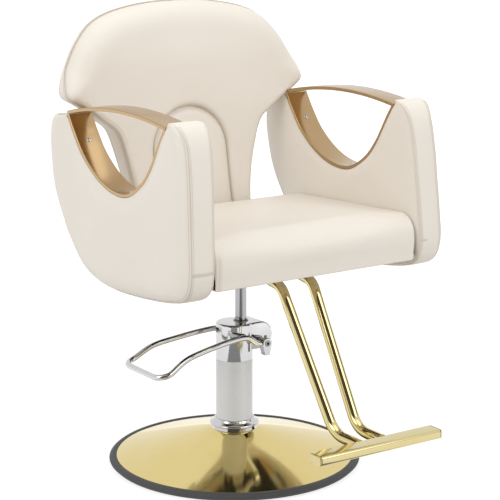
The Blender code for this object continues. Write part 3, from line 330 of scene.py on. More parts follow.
def grid_piece(name, points, material, loop=False, seam=None):
    """Skin over a grid (rows, columns, 3) whose rows are rings; loop joins the last row to the first.

    Without loop, caps close the first and the last ring. The enclosed volume is a sum of tetrahedra from
    the origin: where it is negative, the faces turn round.
    """
    points = np.asarray(points, float)
    rows, columns = points.shape[:2]
    r, c = np.broadcast_arrays(np.arange(rows if loop else rows - 1)[:, None], np.arange(columns))
    row_pairs = np.stack([r, r, r + 1, r + 1], -1).reshape(-1, 4)
    column_pairs = np.stack([c, c + 1, c + 1, c], -1).reshape(-1, 4)
    quads = (row_pairs % rows) * columns + column_pairs % columns
    flat = points.reshape(-1, 3)
    a, b, d, e = (flat[quads[:, i]] for i in range(4))
    volume = np.einsum("ij,ij->", a, np.cross(b, d)) + np.einsum("ij,ij->", a, np.cross(d, e))
    along = ring_lengths(np.swapaxes(points, 0, 1), loop)
    around = ring_lengths(points, True)
    uv = np.stack([along[row_pairs], around[column_pairs]], -1)
    faces = quads.tolist()
    caps = [] if loop else [np.arange(columns)[::-1], (rows - 1) * columns + np.arange(columns)]
    if volume < 0:
        faces = quads[:, ::-1].tolist()
        uv = uv[:, ::-1]
        caps = [cap[::-1] for cap in caps]
    piece = new_piece(name, flat, faces + [cap.tolist() for cap in caps], material)
    mesh = piece.data
    layer = mesh.uv_layers.new(name="metres")
    full = np.zeros((len(mesh.loops), 2), np.float32)
    full[:uv.shape[0] * 4] = uv.reshape(-1, 2)
    layer.data.foreach_set("uv", full.ravel())
    smooth(mesh, SHARP_EDGE)
    # The seam attribute holds painted shade: how far seams and creases darken the skin.
    if seam is not None:
        attribute = mesh.attributes.new("seam", "FLOAT", "POINT")
        attribute.data.foreach_set("value", np.asarray(seam, np.float32).ravel())
    return piece


def settle(piece, body, slot, *nodes):
    """The piece rides on its body and stands for its CAD nodes; slot is not used."""
    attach(piece, body)
    if nodes:
        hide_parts(*nodes)
    print("made", piece.name, len(piece.data.polygons), "faces on", body)
    return piece


# %% Curve helpers
CURVE_STEPS = 32
SIDEWAYS = (0.3, 0.1, 1.0)


def through(knots, count):
    """Catmull-Rom curve through the knots, then read at equal steps of its own length."""
    knots = np.asarray(knots, float)
    padded = np.vstack([2 * knots[0] - knots[1], knots, 2 * knots[-1] - knots[-2]])
    t = np.linspace(0, 1, CURVE_STEPS, endpoint=False)[None, :, None]
    a, b, c, d = (padded[i:len(padded) - 3 + i, None] for i in range(4))
    dense = 0.5 * (2 * b + (c - a) * t + (2 * a - 5 * b + 4 * c - d) * t ** 2
                   + (3 * b - a - 3 * c + d) * t ** 3)
    dense = np.vstack([dense.reshape(-1, knots.shape[1]), padded[-2:-1]])
    return evenly(dense, count)


def evenly(line, count):
    """Reads a polyline at equal steps of its length."""
    length = np.concatenate([[0], np.cumsum(np.linalg.norm(np.diff(line, axis=0), axis=1))])
    at = np.linspace(0, length[-1], count)
    return np.stack([np.interp(at, length, line[:, i]) for i in range(line.shape[1])], 1)


def unit(vectors):
    return vectors / np.linalg.norm(vectors, axis=-1, keepdims=True)


def disc(radius, sides):
    angle = np.arange(sides) * 2 * np.pi / sides
    return np.column_stack([radius * np.cos(angle), radius * np.sin(angle)])


def turned(name, profile, material, sides=96, centre=(0.0, 0.0), solid=False):
    """Lathe: each (radius, height) of an outline makes a ring about an upright axis.

    A closed outline makes a hollow piece. A solid one starts and ends near the axis, where caps close it.
    """
    profile = np.asarray(profile, float)
    spread = centre + profile[:, :1, None] * disc(1.0, sides)
    rings = np.dstack([spread, np.broadcast_to(profile[:, 1:], spread.shape[:2])])
    return grid_piece(name, rings if solid else np.swapaxes(rings, 0, 1), material, loop=not solid)


def drawn_out(outline, places, axis):
    """Rings of an extrusion: a flat outline is repeated at each place along that axis."""
    return np.stack([np.insert(outline, axis, place, axis=1) for place in places])


def arcs_at(corner, before, after, radius, steps):
    """Replaces corners by arcs that touch both sides.

    Two spokes run from an arc's centre to the points where it touches; sines of the swept angle blend them.
    """
    back, onward = unit(before - corner), unit(after - corner)
    half = np.arccos(np.clip((back * onward).sum(1), -1, 1))[:, None] / 2
    centre = corner + unit(back + onward) * radius / np.sin(half)
    first = corner + back * radius / np.tan(half) - centre
    last = corner + onward * radius / np.tan(half) - centre
    sweep = (np.pi - 2 * half)[:, None]
    turn = sweep * np.linspace(0, 1, steps + 1)[None, :, None]
    spokes = first[:, None] * np.sin(sweep - turn) + last[:, None] * np.sin(turn)
    return (centre[:, None] + spokes / np.sin(sweep)).reshape(-1, corner.shape[1])


def rounded(corners, radius, steps=6):
    """A closed outline with round corners."""
    corners = np.asarray(corners, float)
    radius = np.broadcast_to(radius, len(corners))[:, None]
    return arcs_at(corners, np.roll(corners, 1, 0), np.roll(corners, -1, 0), radius, steps)


def bent(corners, radii, steps=16):
    """An open line of straight runs joined by arcs."""
    corners = np.asarray(corners, float)
    arcs = arcs_at(corners[1:-1], corners[:-2], corners[2:], np.asarray(radii)[:, None], steps)
    return np.vstack([corners[:1], arcs, corners[-1:]])


def swept(name, path, section, material, across=None):
    """Carries a flat section along a path: across is the section's first axis, the path gives the normal.

    Without across, the first axis starts sideways and is carried along by removing what leans forward.
    """
    path = np.asarray(path, float)
    ahead = unit(np.gradient(path, axis=0))
    if across is None:
        side = unit(np.cross(ahead[0], SIDEWAYS))
        sides = [side]
        for direction in ahead[1:]:
            side = unit(side - direction * (side @ direction))
            sides.append(side)
        side = np.array(sides)
    else:
        across = np.asarray(across, float)
        side = unit(across - ahead * (ahead @ across)[:, None])
    up = np.cross(ahead, side)
    section = np.asarray(section, float)
    rings = path[:, None] + section[None, :, :1] * side[:, None] + section[None, :, 1:] * up[:, None]
    return grid_piece(name, rings, material)


# %% [markdown]
# ## Stitches
# A lockstitch shows as a row of short thread dashes that dip into the skin at both ends. Each dash is a
# thin spindle: its middle stands proud of the leather and its ends sink. All dashes of a row are one mesh,
# made at once by giving every dash the same small grid in its own local axes.

# %% Stitch helper
STITCH_PITCH = 5.2 * MM
STITCH_LENGTH = 3.9 * MM
THREAD_RADIUS = 0.5 * MM
STITCH_RINGS = 6
STITCH_SIDES = 6
# Normals ride along with the points, so small that they hardly count in the length.
RIDE_ALONG = 1e-6
WAVES = 5


def stitch_rows(name, rows, body):
    """Rows of (points on the skin, outward normals) become dashes of thread; returns the piece.

    Along a dash, t goes from -1 to 1. Its girth falls with the fourth power of t, its lift with the square.
    """
    middles, aheads, ups = [], [], []
    for line, normal in rows:
        length = np.linalg.norm(np.diff(line, axis=0), axis=1).sum()
        count = int(length / STITCH_PITCH)
        both = evenly(np.hstack([line, normal * RIDE_ALONG]), 2 * count + 1)[1::2]
        dense = evenly(line, 2 * count + 1)
        middles.append(both[:, :3])
        aheads.append(unit(dense[2::2] - dense[:-2:2]))
        ups.append(unit(both[:, 3:]))
    middle, ahead, up = (np.vstack(v)[:, None, None] for v in (middles, aheads, ups))
    side = np.cross(ahead, up)
    t = np.linspace(-1, 1, STITCH_RINGS)[None, :, None, None]
    angle = (np.arange(STITCH_SIDES) * 2 * np.pi / STITCH_SIDES)[None, None, :, None]
    girth = THREAD_RADIUS * (1 - 0.75 * t ** 4)
    lift = THREAD_RADIUS * (0.7 - 1.1 * t ** 2)
    points = (middle + ahead * t * STITCH_LENGTH / 2 + up * (lift + girth * np.sin(angle))
              + side * girth * np.cos(angle))
    count = points.shape[0]
    r = np.arange(STITCH_RINGS - 1)[:, None]
    c = np.arange(STITCH_SIDES)[None, :]
    d = (c + 1) % STITCH_SIDES
    one = np.stack([r * STITCH_SIDES + c, (r + 1) * STITCH_SIDES + c, (r + 1) * STITCH_SIDES + d,
                    r * STITCH_SIDES + d], -1).reshape(-1, 4)
    each = STITCH_RINGS * STITCH_SIDES
    faces = (np.arange(count)[:, None, None] * each + one).reshape(-1, 4)
    ring = np.arange(STITCH_SIDES)
    caps = np.stack([ring, ring[::-1] + each - STITCH_SIDES])
    caps = (np.arange(count)[:, None, None] * each + caps).reshape(-1, STITCH_SIDES)
    piece = new_piece(name, points.reshape(-1, 3), faces.tolist() + caps.tolist(), THREAD)
    piece.data.shade_smooth()
    print(name, count, "stitches")
    return settle(piece, body, "leatherette")


def grid_normals(points, ring):
    """Normal at each grid point: the cross product of the steps along its two axes; one axis is a ring."""
    steps = [np.gradient(points, axis=axis) for axis in (0, 1)]
    steps[ring] = np.roll(points, -1, ring) - np.roll(points, 1, ring)
    return unit(np.cross(*steps) + TINY)


def waver(points, size, seed):
    """A smooth pseudo-random height from -1 to 1: five crossed sine waves of about that size."""
    draw = np.random.default_rng(seed)
    waves = unit(draw.normal(size=(WAVES, 3))) * (2 * np.pi / size) * draw.uniform(0.6, 1.5, (WAVES, 1))
    phase = draw.uniform(0, 2 * np.pi, WAVES)
    return np.sin(points @ waves.T + phase).mean(-1)


# %% [markdown]
# ## The arms
# Each arm is a padded board with a round eye cut into its top edge. Its cover has three panels: one for
# each face, and a boxing strip round the outer edge, joined by two seams that are topstitched on both
# sides. The shape is a section carried round the arm: from the eye's edge across the outer face, over the
# seam, across the strip, over the second seam and back along the inner face. The foam rounds the panels
# down towards the seams, more under the arm than in front.

# %% Arm outlines
ARM_INNER = 0.2625
ARM_OUTER = 0.339
ARM_LEAN = 0.04
ARM_INNER_LEAN = 0.05
ARM_INNER_LEAN_REAR = 0.11
ARM_LEAN_FROM = SEAT_LEVEL + 0.056
ARM_STATIONS = 300
EYE_POINTS = 400
EYE_TRIM = 0.012
EYE = [(-0.219, 0.345), (-0.190, 0.305), (-0.152, 0.244), (-0.111, 0.199), (-0.053, 0.167),
       (0.011, 0.165), (0.077, 0.186), (0.137, 0.226), (0.177, 0.272), (0.2015, 0.308)]
ARM_EDGE = [(-0.2205, 0.3465), (-0.235, 0.3455), (-0.250, 0.3400), (-0.263, 0.3285), (-0.2735, 0.308),
            (-0.2820, 0.274), (-0.290, 0.215), (-0.2955, 0.156), (-0.3005, 0.100), (-0.304, 0.055),
            (-0.301, 0.025), (-0.290, 0.002), (-0.262, -0.016), (-0.200, -0.030), (-0.110, -0.041),
            (0.000, -0.047), (0.078, -0.040), (0.140, -0.015), (0.206, 0.049), (0.262, 0.133),
            (0.285, 0.215), (0.2870, 0.266), (0.279, 0.294), (0.263, 0.3045), (0.240, 0.307),
            (0.203, 0.3095)]
eye_line = through(EYE, EYE_POINTS) + [0, SEAT_LEVEL]
edge_line = through(ARM_EDGE, ARM_STATIONS) + [0, SEAT_LEVEL]
edge_run = np.linspace(0, 1, ARM_STATIONS)
# The top of each post fans out from the eye's corner, so the eye's own line waits there.
POST_FRONT, POST_REAR = 0.075, 0.925
post_share = np.clip((edge_run - POST_FRONT) / (POST_REAR - POST_FRONT), 0, 1)
eye_share = EYE_TRIM + (1 - 2 * EYE_TRIM) * post_share
eye_at = np.stack([np.interp(eye_share, np.linspace(0, 1, EYE_POINTS), eye_line[:, i]) for i in (0, 1)], 1)
BAND_LOW, BAND_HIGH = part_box("arm_liner_left")
BAND_INNER, BAND_OUTER = BAND_LOW.x - AXIS_X, BAND_HIGH.x - AXIS_X
EDGE_LENGTH = np.linalg.norm(np.diff(edge_line, axis=0), axis=1).sum()
SHIFT = np.array([AXIS_X, 0, 0])
print("arm: edge", round(float(EDGE_LENGTH), 3), "m long")

# %% Arm section
ROLL_STEPS = np.array([0.0, 0.0015, 0.003, 0.0055, 0.009, 0.014, 0.020, 0.028, 0.038, 0.050])
STRIP_STEPS = np.array([0.0015, 0.003, 0.0055, 0.009, 0.015])
STITCH_COLUMN = 3
PANEL_COLUMNS = 22
SEAM_DEPTH = 1.1 * MM
# Painted shade at a seam: how much its crease is darkened.
SEAM_SHADE = 0.75
# Columns beside a seam and their shares of its depth, then of the puckers' height.
SEAM_PULL = ((0, 1.0), (1, 0.35), (2, 0.08))
PUCKERS = ((2, 0.5), (3, 1.0), (4, 0.8), (5, 0.4))
STRIP_PILLOW = 2.2 * MM
PILLOW_POWER = 0.6
STRIP_MIDDLE = (0.26, 0.74, 9)
PANEL_CROWN = 2.0 * MM
EYE_ROLL = 0.030
PUCKER_PITCH = 17 * MM
PUCKER_HEIGHT = 0.16 * MM
PUCKER_DRIFT, DRIFT_PER_METRE = 1.7, 23
CROSS_SEAM = SEAT_LEVEL + 0.047
CROSS_SEAM_DEPTH = 0.8 * MM
# Painted shade in the cross seam's crease.
CROSS_SEAM_SHADE = 0.55
NICK_COLUMNS = 6
STRIP_WIDTH = 0.07
# Where the underside begins and ends on the outline, and the stations of the front with the cross seam.
UNDER_FROM, UNDER_TO = (0.30, 0.36), (0.66, 0.78)
FRONT_STATIONS, FRONT_Y = 170, -0.28
STITCHED = slice(int(0.02 * ARM_STATIONS), int(0.985 * ARM_STATIONS))
# Each pair is the value beside the seam and what is added to it under the arm.
ROLL_REACH, ROLL_REACH_UNDER = 0.058, -0.016
OUTER_ROLL, OUTER_ROLL_UNDER = 0.015, 0.007
INNER_ROLL, INNER_ROLL_UNDER = 0.007, 0.003
OUTER_POWER, INNER_POWER = 3, 2.2
ROLL_SHARE = 0.7
MID_PANEL = 12
SLACK_HEIGHT = 0.5 * MM
SLACK_SIZE = 0.11


def ease(low, high, value):
    """Smooth step: 0 below low, 1 above high, with no kink at either end."""
    t = np.clip((value - low) / (high - low), 0, 1)
    return t * t * (3 - 2 * t)


def face_steps(span):
    """Distances from the edge across a face: fine steps near the seam, then even ones to the eye."""
    shrink = np.minimum(1, ROLL_SHARE * span / ROLL_STEPS[-1])
    near = ROLL_STEPS[None, :] * shrink[:, None]
    rest = np.linspace(0, 1, PANEL_COLUMNS + 1)[None, 1:]
    far = near[:, -1:] + (span[:, None] - near[:, -1:]) * rest
    return np.hstack([near, far]), shrink


def arm_grid():
    """The +X arm as a grid of stations by section points, with the columns of its two seams.

    Each face starts at the outline and falls away near it by a power of what is left of the roll's reach;
    at the eye it eases over to the band's edge. The strip is a straight blend with a pillow of sines.
    """
    span_line = edge_line - eye_at
    span = np.linalg.norm(span_line, axis=1)
    inward = -span_line / span[:, None]
    under = ease(*UNDER_FROM, edge_run) * (1 - ease(*UNDER_TO, edge_run))
    steps, shrink = face_steps(span)
    flat = edge_line[:, None] + inward[:, None] * steps[..., None]
    reach = ((ROLL_REACH + ROLL_REACH_UNDER * under) * shrink)[:, None]
    near = np.clip(1 - steps / reach, 0, 1)
    across = np.sin(np.pi * np.clip(steps / span[:, None], 0, 1))
    outer_roll = ((OUTER_ROLL + OUTER_ROLL_UNDER * under) * shrink)[:, None]
    inner_roll = ((INNER_ROLL + INNER_ROLL_UNDER * under) * shrink)[:, None]
    above = np.maximum(0, flat[..., 1] - ARM_LEAN_FROM)
    twist = np.clip((ARM_INNER_LEAN_REAR - flat[..., 0]) / (2 * ARM_INNER_LEAN_REAR), 0, 1)
    at_eye = np.clip(1 - (span[:, None] - steps) / EYE_ROLL, 0, 1) ** 2
    outer_x = ARM_OUTER - ARM_LEAN * above
    outer_x = outer_x - outer_roll * near ** OUTER_POWER + PANEL_CROWN * across * shrink[:, None]
    outer_x = outer_x + at_eye * (BAND_OUTER - outer_x)
    inner_x = ARM_INNER - ARM_INNER_LEAN * twist * above + inner_roll * near ** INNER_POWER
    inner_x = inner_x + at_eye * (BAND_INNER - inner_x)
    outer_face = np.dstack([outer_x, flat])
    inner_face = np.dstack([inner_x, flat])
    first, last = outer_face[:, 0], inner_face[:, 0]
    margin = STRIP_STEPS / STRIP_WIDTH
    offset = np.concatenate([margin, np.linspace(*STRIP_MIDDLE), 1 - margin[::-1]])
    pillow = STRIP_PILLOW * np.sin(np.pi * offset) ** PILLOW_POWER
    strip = first[:, None] + (last - first)[:, None] * offset[None, :, None]
    strip[..., 1:] -= inward[:, None] * (pillow[None, :, None] * shrink[:, None, None])
    eye_row = np.linspace(0, 1, 6)[None, 1:-1, None]
    eye_face = inner_face[:, -1:] + (outer_face[:, -1:] - inner_face[:, -1:]) * eye_row
    grid = np.concatenate([outer_face[:, ::-1], strip, inner_face, eye_face], 1)
    columns = outer_face.shape[1]
    return grid, columns - 1, columns + strip.shape[1], shrink


def dent_seams(grid, normals, seams, run, shrink):
    """Pulls the seam columns inwards, puckers the skin beside them and returns the painted shade of the seams."""
    columns = grid.shape[1]
    seam = np.zeros(grid.shape[:2])
    pull = np.zeros(grid.shape[:2])
    wave = np.sin(2 * np.pi * run / PUCKER_PITCH + PUCKER_DRIFT * np.sin(run * DRIFT_PER_METRE))
    for at in seams:
        for step, share in SEAM_PULL:
            for sign in ((1, -1) if step else (1,)):
                column = (at + sign * step) % columns
                pull[:, column] += SEAM_DEPTH * share
                seam[:, column] = np.maximum(seam[:, column], SEAM_SHADE * share)
        for step, share in PUCKERS:
            for sign in (1, -1):
                pull[:, (at + sign * step) % columns] += PUCKER_HEIGHT * share * wave
    return grid - normals * (pull * np.broadcast_to(shrink, run.shape)[:, None])[..., None], seam


# %% Arm covers
def make_arm(word, side):
    grid, outer_seam, inner_seam, shrink = arm_grid()
    normals = grid_normals(grid, 1)
    # The normals have to point outwards: on the outer panel that is along +X.
    if normals[ARM_STATIONS // 2, outer_seam - MID_PANEL, 0] < 0:
        normals = -normals
    slack = SLACK_HEIGHT * waver(grid, SLACK_SIZE, 3 + side) * shrink[:, None]
    grid = grid + normals * slack[..., None]
    grid, seam = dent_seams(grid, normals, (outer_seam, inner_seam), edge_run * EDGE_LENGTH, shrink)
    front = edge_line[:FRONT_STATIONS]
    cross_seam = np.argmin(np.abs(front[:, 1] - CROSS_SEAM) + 0.2 * (front[:, 0] > FRONT_Y))
    strip = slice(inner_seam - NICK_COLUMNS if side > 0 else outer_seam, inner_seam + 1)
    grid[cross_seam, strip] -= normals[cross_seam, strip] * CROSS_SEAM_DEPTH
    # Painted shade darkens the cross seam's crease.
    seam[cross_seam, strip] = CROSS_SEAM_SHADE
    flip = np.array([side, 1, 1])
    piece = grid_piece("arm_cover_" + word, grid * flip + SHIFT, LEATHERETTE, seam=seam)
    settle(piece, "seat", "leatherette", "arm_pad_" + word)
    rows = []
    for at in (outer_seam, inner_seam):
        for step in (-STITCH_COLUMN, STITCH_COLUMN):
            rows.append((grid[STITCHED, at + step] * flip + SHIFT, normals[STITCHED, at + step] * flip))
    if side < 0:
        hem = slice(outer_seam + STITCH_COLUMN, inner_seam - STITCH_COLUMN + 1)
        rows.append((grid[cross_seam - 1, hem] * flip + SHIFT, normals[cross_seam - 1, hem] * flip))
    stitch_rows("arm_stitching_" + word, rows, "seat")


for word, side in (("left", 1), ("right", -1)):
    make_arm(word, side)

# %% [markdown]
# ## The backrest
# The backrest is a mushroom: a stem that rises behind the seat and spreads into two wings that wrap a
# little towards the sitter. It is boxed like the arms, with a front panel, a strip about 70 mm deep and a
# rear panel. The surface is made of rings that follow the outline. Near the edge they are true offsets, so
# that seams keep their distance; further in they shrink towards the middle of the wings. A groove follows
# the arched lumbar pad, which is let into the front.

# %% Backrest shape
BACK_BOTTOM = 0.4895
BACK_FOOT_Y = 0.164
BACK_SLOPE = 0.245
BACK_CURVE = 0.21
BACK_WRAP = 0.030
BACK_DEPTH = 0.074
BACK_BULGE = 0.013
WING_HALF = 0.306
WING_SPAN = 0.330
WING_Z = 0.834
BACK_TOP = 1.0218
STEM = [(0.130, BACK_BOTTOM), (0.1425, 0.4925), (0.149, 0.503), (0.1505, 0.525), (0.158, 0.609),
        (0.176, 0.692), (0.194, 0.742), (0.224, 0.767), (0.264, 0.797), (0.292, 0.814), (0.3085, 0.8225),
        (0.316, WING_Z)]
CAP = [(0.3130, 0.8525), (0.3045, 0.875), (0.2915, 0.900), (0.267, 0.940), (0.228, 0.980), (0.172, 1.0035),
       (0.085, 1.018), (0.0, BACK_TOP)]
PAD_HALF = 0.100
PAD_TOP = 0.787
PAD_FOOT = 0.497
PAD_SINK = 0.020
BACK_POINTS = 420
SOFTEN = 3
BACK_HEART = np.array([0.0, 0.875])


def back_face(x, z):
    """Depth of the front: a parabola in height for the lean, a parabola in width for the wrap."""
    up = z - (SEAT_LEVEL + 0.005)
    return BACK_FOOT_Y + BACK_SLOPE * up - BACK_CURVE * up ** 2 - BACK_WRAP * (x / WING_HALF) ** 2


def pad_distance(x, z):
    """Signed distance to the tombstone outline of the pad: below its spring line only the width counts."""
    spring = PAD_TOP - PAD_HALF
    return np.hypot(x, np.maximum(0, z - spring)) - PAD_HALF


def back_outline():
    """Closed outline: up one side of the stem, round the wing's tip, over the cap and down again."""
    knots = STEM + CAP
    mirrored = [(-x, z) for x, z in knots[-2::-1]]
    half = through(knots + mirrored[:1], 400)
    half = half[half[:, 0] >= 0]
    whole = np.vstack([half, (half * [-1, 1])[::-1], half[:1]])
    line = evenly(whole, BACK_POINTS + 1)[:-1]
    for _ in range(SOFTEN):
        line = 0.5 * line + 0.25 * (np.roll(line, 1, 0) + np.roll(line, -1, 0))
    return line


# %% Backrest rings
SEAM_STEPS = np.array([0.0, 0.0015, 0.003, 0.006, 0.010, 0.0145, 0.019])
ROLL_RINGS = 8
BACK_RINGS = 84
STEM_ROLL = np.array([0.010, 0.009])
WING_ROLL = np.array([0.056, 0.054])
ROLL_POWER = 2.8
ROLL_BLUR = 10
# Upward part of the inward normal: at the first value the edge is the stem's, at the second the cap's.
STEM_TO_CAP = (0.30, -0.45)
PAD_LEDGE = (0.001, -0.008)
BULGE_FROM, BULGE_TO = (0.62, 0.86), (BACK_TOP, 0.88)
REAR_ROLL = 0.016
POLE_RINGS = 8
POLE_SIZE = 0.003
GROOVE_DEPTH = 0.007
GROOVE_WIDTH = 0.0050
CREASE_WIDTH = 0.003
# Painted shade in folds and creases: how dark they are drawn.
FOLD_SHADE = 0.55
BACK_PILLOW = 0.0028
BACK_STRIP = np.concatenate([[0.03, 0.06, 0.12], np.linspace(0.18, 0.82, 9), [0.88, 0.94, 0.97]])
MID_FRONT = 30
TIP_REACH = 0.035
BACK_SLACK_HEIGHT = 0.7 * MM
BACK_SLACK_SIZE = 0.16


def edge_roll(outline, inward):
    """Quarter superellipse from the seam to the front, small on the stem and large over the cap.

    Returns how far each ring stands inside the outline and how far it lies behind the front, both as grids
    of rings by outline points. The angle grows with the length; the power lets the curve run out gently.
    """
    upper = ease(*STEM_TO_CAP, inward[:, 1])
    blur = np.arange(-ROLL_BLUR, ROLL_BLUR + 1)
    upper = np.stack([np.roll(upper, step) for step in blur]).mean(0)[:, None]
    inset, depth = (STEM_ROLL + (WING_ROLL - STEM_ROLL) * upper).T
    length = np.pi / 2 * np.sqrt((inset ** 2 + depth ** 2) / 2)
    rest = SEAM_STEPS[-1] + (length - SEAM_STEPS[-1]) * np.linspace(0, 1, ROLL_RINGS)[1:, None]
    run = np.concatenate([np.broadcast_to(SEAM_STEPS[:, None], (len(SEAM_STEPS), len(outline))), rest])
    angle = np.pi / 2 * run / length
    level = np.maximum(np.cos(angle), 0) ** (2 / ROLL_POWER)
    return inset * (1 - level), depth * (1 - np.sin(angle))


def back_grid():
    """Rings from the middle of the front to the edge, over the strip and to the middle of the rear.

    Near a wing's tip the outline turns sharply, so there the rings are drawn towards the heart instead of
    straight inwards. The groove is a falling exponential of the distance to the pad.
    """
    outline = back_outline()
    ahead = unit(np.roll(outline, -1, 0) - np.roll(outline, 1, 0))
    inward = np.column_stack([-ahead[:, 1], ahead[:, 0]])
    tip = np.exp(-((outline[:, 1] - WING_Z) / TIP_REACH) ** 2)[:, None]
    draw = unit(inward * (1 - tip) + unit(BACK_HEART - outline) * tip)
    draw = draw / np.maximum((draw * inward).sum(1), 0.5)[:, None]
    inset, behind = edge_roll(outline, inward)
    near = outline[None] + draw[None] * inset[..., None]
    shrink = np.linspace(1, POLE_SIZE, BACK_RINGS)[1:, None, None]
    middle = BACK_HEART + (near[-1] - BACK_HEART)[None] * shrink
    plan = np.concatenate([near, middle])
    x, z = plan[..., 0], plan[..., 1]
    flat = np.zeros((BACK_RINGS - 1, len(outline)))
    roll = np.concatenate([behind, flat])
    rear_roll = np.concatenate([REAR_ROLL * (1 - inset / inset[-1]) ** 2, flat])
    rise = ease(*BULGE_FROM, z) * ease(*BULGE_TO, z)
    bulge = BACK_BULGE * (1 - np.clip(x / WING_SPAN, -1, 1) ** 2) * rise
    around_pad = pad_distance(x, z)
    groove = GROOVE_DEPTH * np.exp(-(np.maximum(around_pad, 0) / GROOVE_WIDTH) ** 1.5)
    sunk = PAD_SINK * ease(*PAD_LEDGE, around_pad)
    front = back_face(x, z) - bulge + roll + groove + sunk
    rear = back_face(x, z) + BACK_DEPTH + 0.5 * bulge - rear_roll
    front_rings = np.dstack([x, front, z])
    rear_rings = np.dstack([x, rear, z])
    pillow = (BACK_PILLOW * np.sin(np.pi * BACK_STRIP) ** PILLOW_POWER)[:, None, None]
    strip = front_rings[0] + (rear_rings[0] - front_rings[0])[None] * BACK_STRIP[:, None, None]
    strip -= pillow * np.insert(inward, 1, 0, axis=1)[None]
    grid = np.concatenate([front_rings[::-1], strip, rear_rings])
    # Painted shade: the crease round the pad is darkened, fading over CREASE_WIDTH.
    crease = np.exp(-(around_pad / CREASE_WIDTH) ** 2)
    dark = np.concatenate([crease[::-1], np.zeros(strip.shape[:2]), np.zeros(x.shape)])
    front_seam = len(front_rings) - 1
    return grid, dark, front_seam, front_seam + 1 + len(strip), outline


def make_back():
    grid, dark, front_seam, rear_seam, outline = back_grid()
    grid = np.swapaxes(grid, 0, 1)
    normals = grid_normals(grid, 0)
    if normals[0, front_seam - MID_FRONT, 1] > 0:
        normals = -normals
    run = np.arange(BACK_POINTS) * np.linalg.norm(outline[1] - outline[0])
    column = np.arange(grid.shape[1])
    calm = ease(0, POLE_RINGS, np.minimum(column, column[::-1]))
    slack = BACK_SLACK_HEIGHT * waver(grid, BACK_SLACK_SIZE, 11) * calm
    grid = grid + normals * slack[..., None]
    grid, seam = dent_seams(grid, normals, (front_seam, rear_seam), run, np.ones(1))
    # The painted shade of the crease round the pad joins the seams' painted shade.
    seam = np.maximum(seam, FOLD_SHADE * dark.T)
    piece = grid_piece("back_cover", np.swapaxes(grid, 0, 1) + SHIFT, LEATHERETTE, seam=seam.T)
    settle(piece, "seat", "leatherette", "back_cushion")
    rows = []
    for at in (front_seam, rear_seam):
        for column in (at - STITCH_COLUMN, at + STITCH_COLUMN):
            both = (grid[:, column] + SHIFT, normals[:, column])
            rows.append([np.vstack([line, line[:1]]) for line in both])
    stitch_rows("back_stitching", rows, "seat")


make_back()

# %% [markdown]
# ## Inflating a cushion
# A padded piece swells until its cover is tight. Blender's cloth solver does this: the mesh becomes cloth,
# air pressure pushes from inside, gravity is off, and the seams are pinned so that they stay where they
# were sewn. The movement is capped, because foam pushes far less than air, and the result is written back
# into the mesh.

# %% Cloth helper
CLOTH_FRAMES = 20
CLOTH_SETTINGS = {"quality": 6, "mass": 0.4, "tension_stiffness": 25, "compression_stiffness": 25,
                  "bending_stiffness": 2.0, "use_pressure": True, "vertex_group_mass": "sewn"}


def inflate(piece, pinned, pressure, cap):
    """Runs the cloth solver on the piece; pinned is 0 to 1 per vertex; no point moves more than cap."""
    before = np.empty(len(piece.data.vertices) * 3, np.float32)
    piece.data.vertices.foreach_get("co", before)
    before = before.reshape(-1, 3)
    group = piece.vertex_groups.new(name="sewn")
    for level in np.unique(np.round(pinned, 2)):
        group.add(np.flatnonzero(np.round(pinned, 2) == level).tolist(), float(level), "REPLACE")
    cloth = piece.modifiers.new("cloth", "CLOTH")
    for setting, value in CLOTH_SETTINGS.items():
        setattr(cloth.settings, setting, value)
    cloth.settings.uniform_pressure_force = pressure
    cloth.settings.effector_weights.gravity = 0
    cloth.point_cache.frame_end = CLOTH_FRAMES
    scene = bpy.context.scene
    for number in range(1, CLOTH_FRAMES + 1):
        scene.frame_set(number)
    swollen = piece.evaluated_get(bpy.context.evaluated_depsgraph_get())
    after = np.empty_like(before)
    swollen.data.vertices.foreach_get("co", after.reshape(-1))
    piece.modifiers.remove(cloth)
    piece.vertex_groups.remove(group)
    scene.frame_set(1)
    move = after - before
    far = np.linalg.norm(move, axis=1, keepdims=True)
    move *= np.minimum(1, cap / np.maximum(far, 1e-9))
    piece.data.vertices.foreach_set("co", (before + move).ravel())
    piece.data.update()
    print("inflated", piece.name, "by up to", round(float(far.max()) / MM, 1), "mm, capped at", cap / MM)


# %% [markdown]
# ## The lumbar pad
# An arched pad sits in the middle of the stem, tucked into a fold all round. It is a dome over a
# tombstone: rings shrink from the outline to the middle, rise in a quarter round and then crown gently.

# %% Lumbar pad
PAD_PROUD = 0.0092
PAD_ROUND = 0.022
PAD_POINTS = 220
PAD_RINGS = 48
PAD_TUCK = 0.013
PAD_REAR = 0.019
PAD_SPREAD = 1.25
# Painted shade on the pad's rear ring, where it tucks into the stem.
PAD_SHADE = 0.8
PAD_SEWN = 0.004
PAD_SPINE_FOOT = PAD_FOOT + 0.09
PAD_POLE = 0.995
EDGE_SHARE, CROWN_SHARE = 0.55, 0.45
PAD_PRESSURE, PAD_SWELL = 2.0, 0.002


